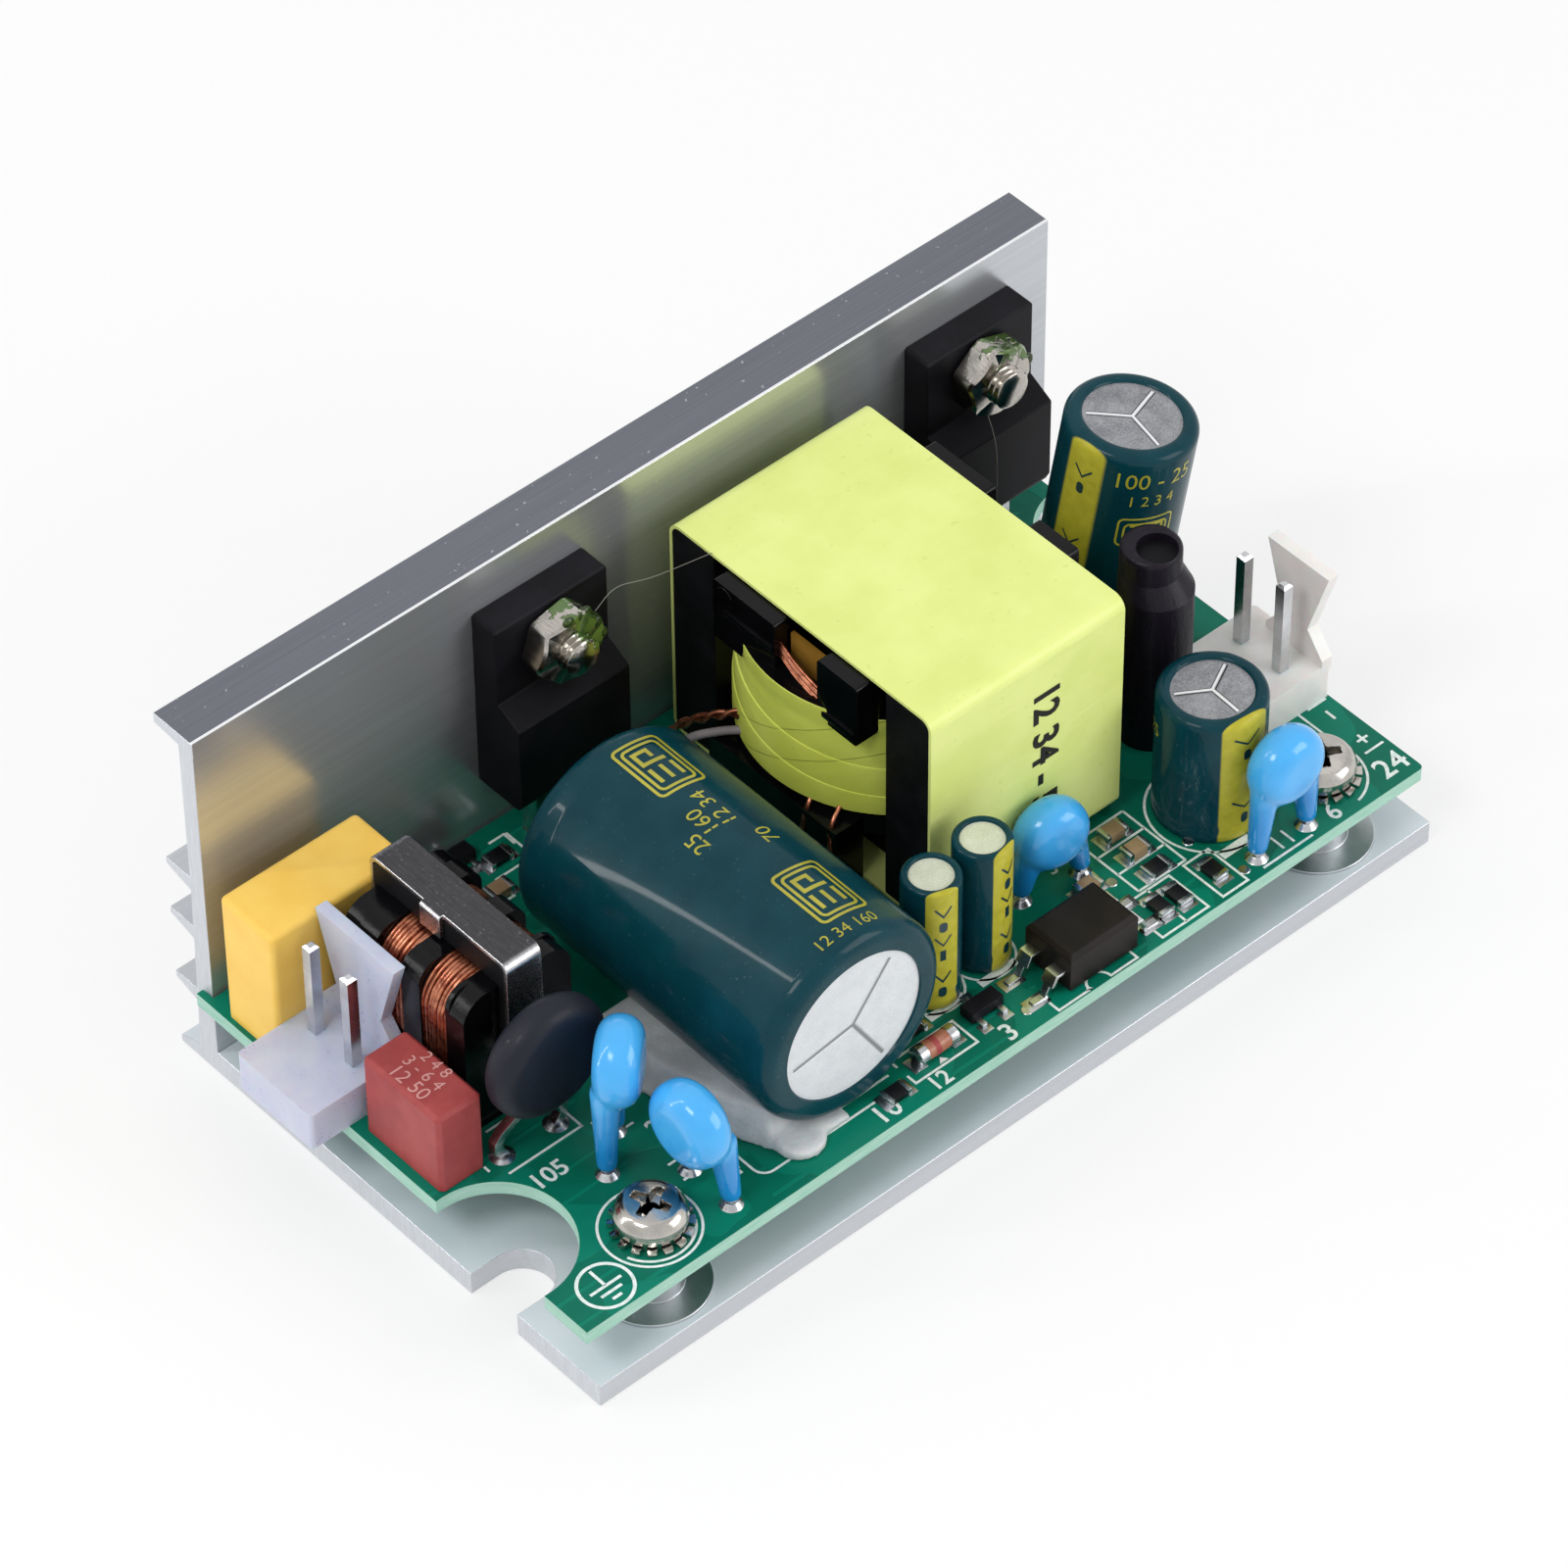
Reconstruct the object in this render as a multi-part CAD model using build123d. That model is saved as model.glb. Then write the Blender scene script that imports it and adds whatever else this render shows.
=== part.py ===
from build123d import *
import os
from math import atan2, degrees, radians, sin, sqrt

# Open-frame power supply module: a component board standing on an L-shaped finned heat sink.
# Positions are measured from the mains end (x) and the open front edge (y) of the heat sink.
# The saved parts are moved so that the origin is the middle of the base plate's underside.

# Heat sink extrusion.
sink_length = 78.0
plate_t = 2.0
wall_y = 40.5
wall_height = 32.4
wall_t = 1.5
fin_reach = 2.6
wall_foot_t = 2.0
flange_t = 1.1
fin_root_t = 1.3
fin_tip_t = 0.6
fin_tops = (18.5, 13.6, 7.2)
slot_width = 4.8
slot_reach = 2.4
slot_y_mains = 10.9
slot_y_output = 33.4
sink_depth = wall_y + wall_t + fin_reach

# Circuit board.
board_t = 1.2
standoff_height = 4.65
board_x0 = -0.7
board_length = 78.0
board_y0 = 0.3
board_wall_gap = 0.2
notch_r_mains = 5.6
notch_r_output = 5.0
screw_x = (8.7, 71.2)
screw_y = 4.6
screw_d = 3.0
pad_clearance = 0.1

board_low = plate_t + standoff_height
board_top = board_low + board_t
pin_tail = 1.0

# Fixings.
standoff_d = 4.4
standoff_ring_d = 8.3
standoff_ring_t = 0.3
head_d = 5.2
head_t = 1.8
washer_d = 6.0
washer_t = 0.6
nut_flats = 5.5
nut_t = 2.4

# Mains side components.
header_pitch = 3.96
header_width = 7.9
header_depth = 8.6
header_pin_inset = 3.2
header_base_t = 3.3
header_lock_h = 12.1
header_lock_t = 1.0
header_notch_z = 6.0
header_notch = 1.6
header_flare = 0.2
header_pin_h = 11.7
header_pin_w = 0.85
box_cap = (12.0, 5.6, 11.8)
fuse = (3.9, 8.0, 7.3)
choke_x = 9.45
choke_y0 = 18.3
choke_length = 13.5
choke_height = 14.7
choke_core_w = 3.1
choke_lift = 0.4
choke_limb = 2.0
choke_half_width = 4.7
choke_wire_half = 4.3
choke_chamber_w = 2.7
choke_chambers = (2.4, 7.0)
choke_pin_rise = 3.0
clip_width = 3.1
clip_t = 0.4
clip_ear_y = 6.1
clip_ear_w = 2.1
clip_ear_drop = 2.1
thermistor_d = 9.6
thermistor_t = 2.8

# Bulk capacitor lying on the board.
bulk_d = 16.2
bulk_length = 26.0
bulk_x = 25.6
bulk_y0 = 3.0
bulk_lift = 0.4

# Transistor packages on the wall.
package_x = (29.2, 69.2)
package_w = 10.1
package_h = 16.0
package_t = 4.7
tab_t = 2.5
tab_h = 6.9
package_top_gap = 3.8
clamp_drop = 3.2
package_top = wall_height - package_top_gap
clamp_z = package_top - clamp_drop
lead_pitch = 2.54

# Transformer.
core_x = 49.3
core_y = 25.0
core_length = 26.3
core_depth = 18.0
core_height = 19.7
core_lift = 0.85
core_yoke = 4.2
core_window_r = 11.3
core_opening = 17.6
core_edge_r = 0.8
post_r = 5.9
tape_t = 0.25
winding_r = 11.2
rail_reach = 11.6
rail_length = 13.2
wing_reach = 10.3
transformer_pins = 6
rail_pin_rise = 2.5
rail_pin_pitch = 2.3

# Output side components.
tall_cap = (9.7, 19.6)
short_cap = (8.0, 11.6)
small_cap = (4.3, 11.6)
tall_lean = 8.0
sleeve_t = 0.2


def block(x0, x1, y0, y1, z0, z1):
    """A box between two corners."""
    size = Box(x1 - x0, y1 - y0, z1 - z0)
    return Pos((x0 + x1) / 2, (y0 + y1) / 2, (z0 + z1) / 2) * size


def rod(x, y, z0, z1, r):
    """An upright round rod."""
    return Pos(x, y, (z0 + z1) / 2) * Cylinder(r, z1 - z0)


def rod_along_y(x, y0, y1, z, r):
    """A round rod lying front to back."""
    return Pos(x, (y0 + y1) / 2, z) * Rot(90, 0, 0) * Cylinder(r, y1 - y0)


def square_pin(x, y, z0, z1, w):
    """A square pin standing on end."""
    return block(x - w / 2, x + w / 2, y - w / 2, y + w / 2, z0, z1)


def bent_wire(points, w):
    """A wire of square section through the points, mitred at the corners."""
    path = Polyline(*points)
    start = Plane(origin=path @ 0, z_dir=path % 0)
    return sweep(start * Rectangle(w, w), path=path, transition=Transition.RIGHT)


def save(name, *solids):
    """Write one node, moved to the frame of the finished module."""
    shift = Pos(-sink_length / 2, -sink_depth / 2, 0)
    pieces = []
    for piece in solids:
        pieces.extend((shift * piece).solids())
    for piece in pieces:
        piece.label = name
    node = pieces[0] if len(pieces) == 1 else Compound(label=name, children=pieces)
    export_step(node, f"parts/{name}.step")


# Every pin that goes through the board is listed here, so that the board gets its hole
# and its solder joint: (x, y, width).
through_pins = []


def board_pin(x, y, w, z_top):
    """A square pin from z_top down through the board, with its tail below."""
    through_pins.append((x, y, w))
    return square_pin(x, y, board_low - pin_tail, z_top, w)


def heat_sink():
    outer_foot = wall_y + wall_foot_t
    outer = wall_y + wall_t
    bend = fin_tops[0]
    outline = [(0, 0), (sink_depth, 0), (sink_depth, fin_tip_t), (outer_foot, fin_root_t)]
    for top in reversed(fin_tops):
        share = min(1.0, top / bend)
        face = outer_foot + (outer - outer_foot) * share
        outline += [
            (face, top - fin_root_t),
            (sink_depth, top - fin_tip_t),
            (sink_depth, top),
            (face, top),
        ]
    outline += [
        (outer, wall_height - flange_t),
        (sink_depth, wall_height - 0.8 * flange_t),
        (sink_depth, wall_height),
        (wall_y, wall_height),
        (wall_y, plate_t),
        (0, plate_t),
    ]
    profile = make_face(Polyline(*outline, close=True))
    sink = extrude(Plane.YZ * profile, sink_length)
    for x_end, y, inward in ((0, slot_y_mains, 1), (sink_length, slot_y_output, -1)):
        centre = x_end + inward * slot_reach
        sink -= rod(centre, y, -1, plate_t + 1, slot_width / 2)
        near, far = sorted((x_end - inward, centre))
        sink -= block(near, far, y - slot_width / 2, y + slot_width / 2, -1, plate_t + 1)
    for x in screw_x:
        sink -= rod(x, screw_y, -1, plate_t + 1, standoff_d / 2)
    for x in package_x:
        sink -= rod_along_y(x, wall_y - 1, sink_depth + 1, clamp_z, screw_d / 2 + pad_clearance)
    return sink


def board_standoffs():
    """Round spacers swaged into the plate, each with a ring pressed round its foot."""
    pieces = []
    for x in screw_x:
        spacer = rod(x, screw_y, 0, board_low, standoff_d / 2)
        spacer += rod(x, screw_y, plate_t, plate_t + standoff_ring_t, standoff_ring_d / 2)
        spacer -= rod(x, screw_y, -1, board_low + 1, screw_d / 2)
        pieces.append(spacer)
    return pieces


def screw_along(length, head_radius, head_height):
    """A pan head screw standing on its head's underside: shank below zero, head above."""
    head = Pos(0, 0, head_height / 2) * Cylinder(head_radius, head_height)
    head = fillet(head.edges().group_by(Axis.Z)[-1], 0.45 * head_height)
    recess = Pos(0, 0, head_height) * (Box(0.45 * head_radius * 2, 0.55, head_height))
    recess += Pos(0, 0, head_height) * (Box(0.55, 0.45 * head_radius * 2, head_height))
    shank = Pos(0, 0, -length / 2) * Cylinder(screw_d / 2, length)
    return head - recess + shank


def board_screws():
    reach = board_t + washer_t + standoff_height - 0.5
    seat = board_top + washer_t
    return [Pos(x, screw_y, seat) * screw_along(reach, head_d / 2, head_t) for x in screw_x]


def screw_washers():
    pieces = []
    for x in screw_x:
        ring = rod(x, screw_y, board_top, board_top + washer_t, washer_d / 2)
        pieces.append(ring - rod(x, screw_y, board_top - 1, board_top + 2, screw_d / 2))
    return pieces


def connector(x0, y0, lock_inset):
    """Header housing: a base block with a flared locking wall on the side away from the mains end."""
    wall_x = x0 + header_depth - header_lock_t
    base = block(x0, x0 + header_depth, y0, y0 + header_width, board_top, board_top + header_base_t)
    base = fillet(base.edges().filter_by(Axis.Z), 0.4)
    foot, shoulder = header_base_t - 0.5, 0.65 * header_notch_z
    low_y, high_y = y0, y0 + header_width - lock_inset
    outline = [
        (low_y, foot),
        (low_y, shoulder),
        (low_y + header_notch, header_notch_z),
        (low_y - header_flare, header_lock_h),
        (high_y + header_flare, header_lock_h),
        (high_y - header_notch, header_notch_z),
        (high_y, shoulder),
        (high_y, foot),
    ]
    wall = extrude(Plane.YZ * make_face(Polyline(*outline, close=True)), header_lock_t)
    housing = base + Pos(wall_x, 0, board_top) * wall
    pin_x = x0 + header_depth - header_pin_inset
    for y in connector_pin_ys(y0):
        housing -= square_pin(pin_x, y, board_low, board_top + header_pin_h, header_pin_w)
    return housing


def connector_pin_ys(y0):
    middle = y0 + header_width / 2
    return (middle - header_pitch / 2, middle + header_pitch / 2)


def connector_pins(x0, y0):
    x = x0 + header_depth - header_pin_inset
    tip = board_top + header_pin_h
    pins = []
    for y in connector_pin_ys(y0):
        pin = board_pin(x, y, header_pin_w, tip)
        pins.append(chamfer(pin.edges().group_by(Axis.Z)[-1], 0.2))
    return pins


mains_header = (-3.9, 24.9)
output_header = (68.8, 9.9)
output_lock_inset = 2.2
box_cap_at = (5.7, 35.6)
fuse_at = (1.95, 20.0)
box_cap_pitch = 10.0
fuse_pitch = 5.08


def box_capacitor():
    w, d, h = box_cap
    x, y = box_cap_at
    body = block(x - w / 2, x + w / 2, y - d / 2, y + d / 2, board_top, board_top + h)
    return fillet(body.edges().filter_by(Axis.Z) + body.edges().group_by(Axis.Z)[-1], 0.45)


def box_capacitor_leads():
    x, y = box_cap_at
    return [board_pin(x + side * box_cap_pitch / 2, y, 0.7, board_top) for side in (-1, 1)]


def fuse_body():
    w, d, h = fuse
    x, y = fuse_at
    body = block(x - w / 2, x + w / 2, y - d / 2, y + d / 2, board_top, board_top + h)
    return chamfer(body.edges().filter_by(Axis.Z) + body.edges().group_by(Axis.Z)[-1], 0.3)


def fuse_leads():
    x, y = fuse_at
    return [board_pin(x, y + side * fuse_pitch / 2, 0.6, board_top) for side in (-1, 1)]


# Common-mode choke: E-core loop, two-chamber bobbin, two windings and a spring clip.
choke_y1 = choke_y0 + choke_length
choke_core_x = (choke_x - choke_core_w / 2, choke_x + choke_core_w / 2)
choke_post = 3.4
choke_post_z = board_top + (choke_height + choke_lift) / 2
choke_window_half = (choke_height - choke_lift) / 2 - choke_limb


def choke_core():
    x0, x1 = choke_core_x
    low, high = board_top + choke_lift, board_top + choke_height
    ring = block(x0, x1, choke_y0, choke_y1, low, high)
    y0, y1 = choke_y0 + choke_limb, choke_y1 - choke_limb
    ring -= block(x0 - 1, x1 + 1, y0, y1, low + choke_limb, high - choke_limb)
    ring += Pos(choke_x, (choke_y0 + choke_y1) / 2, choke_post_z) * Box(
        choke_post, choke_length - choke_limb, choke_post
    )
    return fillet(ring.edges().filter_by(Axis.X).group_by(Axis.Z)[-1], 0.5)


def choke_chamber_ys():
    """Front and back of each of the two winding chambers."""
    return [(choke_y0 + start, choke_y0 + start + choke_chamber_w) for start in choke_chambers]


def rounded_cheek(y0, y1, half_width, half_height, radius):
    plate = block(
        choke_x - half_width, choke_x + half_width, y0, y1,
        choke_post_z - half_height, choke_post_z + half_height,
    )
    return fillet(plate.edges().filter_by(Axis.Y), radius) if radius else plate


def choke_bobbin():
    y0, y1 = choke_y0 + choke_limb, choke_y1 - choke_limb
    (front_a, front_b), (back_a, back_b) = choke_chamber_ys()
    tube = choke_post / 2 + 0.7
    body = rounded_cheek(y0, y1, tube, tube, 0.5)
    for low, high in ((y0, front_a), (front_b, back_a), (back_b, y1)):
        body += rounded_cheek(low, high, choke_half_width, choke_window_half, 1.5)
    for low, high in ((choke_y0 + 0.5, y0), (y1, choke_y1 - 0.5)):
        left, right = choke_x - choke_half_width, choke_x + choke_half_width
        foot = block(left, right, low, high, board_top, choke_post_z + choke_window_half)
        body += fillet(foot.edges().filter_by(Axis.Y).group_by(Axis.Z)[-1], 2.0)
    body -= rounded_cheek(choke_y0 - 1, choke_y1 + 1, choke_post / 2, choke_post / 2, 0)
    x0, x1 = choke_core_x
    for low, high in ((choke_y0 - 1, y0), (y1, choke_y1 + 1)):
        body -= block(x0, x1, low, high, board_top + choke_lift, board_top + choke_height)
    for x, y in choke_pin_places():
        body -= square_pin(x, y, board_low, board_top + choke_pin_rise, 0.7)
    return body


def choke_pin_places():
    span = choke_half_width - 1.1
    depth = (choke_y0 + 0.5 + choke_limb / 2 - 0.4, choke_y1 - 0.1 - choke_limb / 2)
    return [(choke_x + side * span, y) for y in depth for side in (-1, 1)]


def choke_pins():
    return [board_pin(x, y, 0.7, board_top + choke_pin_rise) for x, y in choke_pin_places()]


def choke_windings():
    """Each winding is a rounded coil filling its chamber of the bobbin."""
    tube = choke_post / 2 + 0.7
    coils = []
    for low, high in choke_chamber_ys():
        coil = rounded_cheek(low, high, choke_wire_half, choke_window_half - 0.05, 2.8)
        coil -= rounded_cheek(low, high, tube, tube, 0.5)
        coils.append(coil)
    return coils


def choke_clip():
    """Spring clip: a strip over the top of the core with a leg at each end and a pressed ear."""
    x0, x1 = choke_x - clip_width / 2, choke_x + clip_width / 2
    low, high = board_top + 2.0, board_top + choke_height + clip_t
    strip = block(x0, x1, choke_y0 - clip_t, choke_y1 + clip_t, low, high)
    strip = fillet(strip.edges().filter_by(Axis.X).group_by(Axis.Z)[-1], 0.8)
    inside = block(x0 - 1, x1 + 1, choke_y0, choke_y1, low - 1, high - clip_t)
    inside = fillet(inside.edges().filter_by(Axis.X).group_by(Axis.Z)[-1], 0.5)
    near, far = choke_y0 + clip_ear_y, choke_y0 + clip_ear_y + clip_ear_w
    ear = block(x0 - clip_t, x0, near, far, high - clip_ear_drop, high)
    ear = fillet(ear.edges().filter_by(Axis.Y).group_by(Axis.Z)[-1].sort_by(Axis.X)[0], 0.3)
    return strip - inside + ear


# Disc parts dipped in lacquer.
thermistor_at = (8.6, 15.0)
thermistor_rise = 8.4
thermistor_feet = ((5.3, 16.0), (9.9, 15.8))
thermistor_lead_w = 0.7


def dipped_disc(diameter, thickness):
    """A lacquered disc on its edge, facing front and back, rounded off all round."""
    disc = Rot(90, 0, 0) * Cylinder(diameter / 2, thickness)
    return fillet(disc.edges().filter_by(GeomType.CIRCLE), 0.46 * thickness)


def thermistor():
    x, y = thermistor_at
    return Pos(x, y, board_top + thermistor_rise) * dipped_disc(thermistor_d, thermistor_t)


def thermistor_leads():
    """Two tinned leads, each with the kink that holds the disc clear of the board."""
    x, y = thermistor_at
    leads = []
    for side, (foot_x, foot_y) in zip((-1, 1), thermistor_feet):
        through_pins.append((foot_x, foot_y, thermistor_lead_w))
        inset = 0.25 * thermistor_d
        top_z = board_top + thermistor_rise - sqrt((thermistor_d / 2) ** 2 - inset**2) + 0.5
        path = [
            (foot_x, foot_y, board_low - pin_tail),
            (foot_x, foot_y, board_top + 0.3),
            (foot_x + side * 0.5, foot_y, board_top + 1.0),
            (foot_x + side * 0.5, foot_y, board_top + 1.7),
            (foot_x, foot_y - 0.1, board_top + 2.5),
            (x + side * inset, y, top_z),
        ]
        leads.append(bent_wire(path, thermistor_lead_w) - thermistor())
    return leads


# Each blue capacitor: its middle, the diameter and height of the disc, and the two lead holes.
blue_caps = (
    ((11.3, 10.6), 6.5, 9.4, ((9.5, 10.0), (12.4, 12.6))),
    ((12.3, 4.6), 6.6, 7.4, ((13.9, 2.4), (13.9, 6.6))),
    ((49.8, 9.6), 5.8, 5.3, ((47.3, 9.9), (52.3, 9.1))),
    ((64.8, 1.9), 6.2, 7.6, ((62.4, 1.9), (67.2, 1.9))),
)
blue_t = 3.3
blue_leg_r = 0.75
blue_leg_taper = 1.45
blue_coat_foot = 0.7


def blue_capacitor(spot):
    (x, y), diameter, rise, feet = spot
    (ax, ay), (bx, by) = feet
    turn = degrees(atan2(by - ay, bx - ax))
    disc = Pos(x, y, board_top + rise) * Rot(0, 0, turn) * dipped_disc(diameter, blue_t)
    for foot in feet:
        start = Vector(foot[0], foot[1], board_top + blue_coat_foot)
        reach = diameter / 2 - 1.2
        to_foot = Vector(foot[0] - x, foot[1] - y, 0)
        end = Vector(x, y, board_top + rise - 1.0) + to_foot * (reach / max(to_foot.length, reach))
        axis = end - start
        leg = Cone(blue_leg_r, blue_leg_r * blue_leg_taper, axis.length)
        place = Plane(origin=start + axis * 0.5, z_dir=axis)
        disc += place * leg
    span = 1.3 * diameter
    return disc - block(x - span, x + span, y - span, y + span, board_low, board_top + blue_coat_foot)


def blue_capacitors():
    return [blue_capacitor(spot) for spot in blue_caps]


def blue_capacitor_leads():
    top = board_top + blue_coat_foot
    return [board_pin(x, y, 0.6, top) for *_, feet in blue_caps for x, y in feet]


# Bulk capacitor.
bulk_z = board_top + bulk_lift + bulk_d / 2
bulk_y1 = bulk_y0 + bulk_length
bulk_lead_pitch = 7.5
bulk_bend = 1.6
bulk_mouth = 0.74
bung_share = 0.62
bung_depth = 2.0
bead_back_gap = 8.0


def bulk_sleeve():
    """Shrunk plastic sleeve: a thin tube whose lips turn in over both ends of the can."""
    skin = rod_along_y(bulk_x, bulk_y0, bulk_y1, bulk_z, bulk_d / 2)
    skin = fillet(skin.edges().filter_by(GeomType.CIRCLE), 1.2)
    hollow = rod_along_y(bulk_x, bulk_y0 + sleeve_t, bulk_y1 - sleeve_t, bulk_z, bulk_d / 2 - sleeve_t)
    hollow = fillet(hollow.edges().filter_by(GeomType.CIRCLE), 1.0)
    mouth = rod_along_y(bulk_x, bulk_y0 - 1, bulk_y1 + 1, bulk_z, bulk_mouth * bulk_d / 2)
    return skin - hollow - mouth


def bulk_can():
    can = rod_along_y(bulk_x, bulk_y0 + sleeve_t, bulk_y1 - sleeve_t, bulk_z, bulk_d / 2 - sleeve_t)
    can = fillet(can.edges().filter_by(GeomType.CIRCLE), 1.0)
    return can - rod_along_y(bulk_x, bulk_y1 - bung_depth, bulk_y1 + 1, bulk_z, bung_share * bulk_d / 2)


def bulk_bung():
    radius = bung_share * bulk_d / 2
    bung = rod_along_y(bulk_x, bulk_y1 - bung_depth, bulk_y1 + 0.1, bulk_z, radius)
    for x in bulk_lead_xs():
        bung -= block(x - 0.4, x + 0.4, bulk_y1 - 1.2, bulk_y1 + 1, bulk_z - 0.4, bulk_z + 0.4)
    return bung


def bulk_lead_xs():
    return (bulk_x - bulk_lead_pitch / 2, bulk_x + bulk_lead_pitch / 2)


def bulk_leads():
    leads = []
    y_hole = bulk_y1 + bulk_bend
    for x in bulk_lead_xs():
        through_pins.append((x, y_hole, 0.8))
        path = [(x, bulk_y1 - 1.2, bulk_z), (x, y_hole, bulk_z), (x, y_hole, board_low - pin_tail)]
        leads.append(bent_wire(path, 0.8))
    return leads


def silicone_bead():
    """Cured adhesive that beds the lying capacitor, with a run-out in front of it."""
    left = bulk_x - bulk_d / 2
    back = bulk_y1 - bead_back_gap
    shore = [
        (left - 1.9, back), (left - 1.8, bulk_y0 + 11.4), (left - 0.3, bulk_y0 + 5),
        (left + 1.4, bulk_y0 + 1), (bulk_x, bulk_y0 + 1), (bulk_x + 2, bulk_y0 + 3), (bulk_x + 2, back),
    ]
    outline = Plane.XY.offset(board_top) * make_face(Polyline(*shore, close=True))
    bead = extrude(outline, bulk_lift + 2.0, taper=30)
    blob_x = bulk_x - 4.6
    run_out = rod(blob_x, bulk_y0 + 0.5, board_top, board_top + 0.9, 1.9)
    run_out += block(blob_x, blob_x + 4, bulk_y0 - 0.4, bulk_y0 + 1.3, board_top, board_top + 0.6)
    bead += run_out
    return bead - rod_along_y(bulk_x, bulk_y0 - 4, bulk_y1 + 1, bulk_z, bulk_d / 2)


# Transistor and rectifier packages clamped to the wall.
def package(x):
    """Insulated package: thin mounting tab above, full-depth body below, bevelled between."""
    half = package_w / 2
    low, high = package_top - package_h, package_top
    step = package_top - tab_h
    front, tab_front = wall_y - package_t, wall_y - tab_t
    side = [
        (wall_y, low), (front + 0.4, low), (front, low + 0.8), (front, step - 1.2),
        (tab_front, step), (tab_front, high - 0.2), (tab_front + 0.2, high), (wall_y, high),
    ]
    body = extrude(Plane.YZ * make_face(Polyline(*side, close=True)), package_w)
    body = Pos(x - half, 0, 0) * body
    top_corners = body.edges().filter_by(Axis.Y).group_by(Axis.Z)[-1]
    body = chamfer(top_corners, 0.2)
    return body - rod_along_y(x, tab_front - 1, wall_y + 1, clamp_z, screw_d / 2)


def package_leads(x):
    leads = []
    y = wall_y - tab_t + 0.1
    for step in (-1, 0, 1):
        spot = x + step * lead_pitch
        leads.append(board_pin(spot, y, 0.7, package_top - package_h))
    return leads


def clamp_screws():
    """Screws put in from behind the wall, with their ends showing past the nuts."""
    pieces = []
    length = wall_t + tab_t + nut_t + 1.3
    for x in package_x:
        screw = screw_along(length, head_d / 2, head_t - 0.3)
        pieces.append(Pos(x, wall_y + wall_t, clamp_z) * Rot(-90, 0, 0) * screw)
    return pieces


def clamp_nuts():
    pieces = []
    for x in package_x:
        hexagon = extrude(RegularPolygon(nut_flats / sqrt(3), 6), nut_t)
        face_r = 0.48 * nut_flats
        crown = Pos(0, 0, nut_t / 2) * Cone(face_r + sqrt(3) * nut_t, face_r, nut_t)
        nut = (hexagon & crown) - Cylinder(screw_d / 2, 3 * nut_t)
        pieces.append(Pos(x, wall_y - tab_t, clamp_z) * Rot(90, 0, 0) * Rot(0, 0, 12) * nut)
    return pieces


# Transformer.
core_z0 = board_top + core_lift
core_z1 = core_z0 + core_height
window_z = (core_z0 + core_yoke, core_z1 - core_yoke)
core_y0, core_y1 = core_y - core_length / 2, core_y + core_length / 2
core_x0, core_x1 = core_x - core_depth / 2, core_x + core_depth / 2
flange_thick = 1.0
winding_z = (window_z[0] + 1.6, window_z[1] - flange_thick)
wing_drop = 0.4
wing_spans = ((1.0, 7.4), (-7.4, -3.3))
wire_ys = (21.3, 18.8)
flying_leads = (
    (0.8, ((39.2, 29.7, 17.2), (37.6, 33.4, 14.6), (37.2, 36.0, 10.6), (37.2, 36.0, board_top))),
    (0.7, ((39.3, 28.9, 15.9), (37.0, 32.6, 14.0), (36.2, 33.8, 10.5), (36.2, 33.8, board_top))),
)


def transformer_core():
    """Two ferrite halves meeting at mid height: yoke, round middle post and curved outer legs."""
    halves = []
    middle = (core_z0 + core_z1) / 2
    waist = 0.36 * core_depth
    half_opening = core_opening / 2
    for low, high, yoke in (
        (core_z0, middle, (core_z0, window_z[0])),
        (middle, core_z1, (window_z[1], core_z1)),
    ):
        legs = block(core_x0, core_x1, core_y0, core_y1, low, high)
        outer_edges = legs.edges().filter_by(Axis.X).group_by(Axis.Z)[0 if low == core_z0 else -1]
        legs = fillet(outer_edges, core_edge_r)
        legs -= rod(core_x, core_y, low - 1, high + 1, core_window_r)
        legs -= block(
            core_x0 - 1, core_x1 + 1, core_y - half_opening, core_y + half_opening, low - 1, high + 1
        )
        half = block(core_x - waist, core_x + waist, core_y0 + 1, core_y1 - 1, *yoke) + legs
        half += rod(core_x, core_y, low, high, post_r)
        halves.append(half)
    return halves


def transformer_bobbin():
    z0, z1 = window_z
    body = rod(core_x, core_y, z0, z1, post_r + 0.8)
    body += rod(core_x, core_y, z0, winding_z[0], core_window_r - 0.2)
    body += rod(core_x, core_y, winding_z[1], z1, core_window_r - 0.2)
    for side in (-1, 1):
        inner, outer = sorted((core_x + side * core_depth / 2, core_x + side * rail_reach))
        rail_y = (core_y - rail_length / 2, core_y + rail_length / 2)
        body += block(inner, outer, *rail_y, board_top + 0.3, winding_z[0])
        for y0, y1 in wing_spans:
            low, high = sorted((core_x + side * (core_depth / 2 - 2), core_x + side * wing_reach))
            wing = block(low, high, core_y + y0, core_y + y1, winding_z[1] - wing_drop, core_z1 - 0.1)
            body += fillet(wing.edges().filter_by(Axis.X), 0.3)
    body -= rod(core_x, core_y, z0 - 5, z1 + 5, post_r)
    body -= transformer_winding()
    for x, y in transformer_pin_places():
        body -= square_pin(x, y, board_low, board_top + rail_pin_rise, 0.7)
    return body - Compound(children=transformer_core())


def transformer_pin_places():
    spots = []
    for side in (-1, 1):
        for step in range(transformer_pins):
            y = core_y + (step - (transformer_pins - 1) / 2) * rail_pin_pitch
            spots.append((core_x + side * (rail_reach - 1.3), y))
    return spots


def transformer_pins_solids():
    return [board_pin(x, y, 0.7, board_top + rail_pin_rise) for x, y in transformer_pin_places()]


def transformer_winding():
    z0, z1 = winding_z
    return rod(core_x, core_y, z0, z1, winding_r) - rod(core_x, core_y, z0 - 1, z1 + 1, post_r + 0.8)


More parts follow.
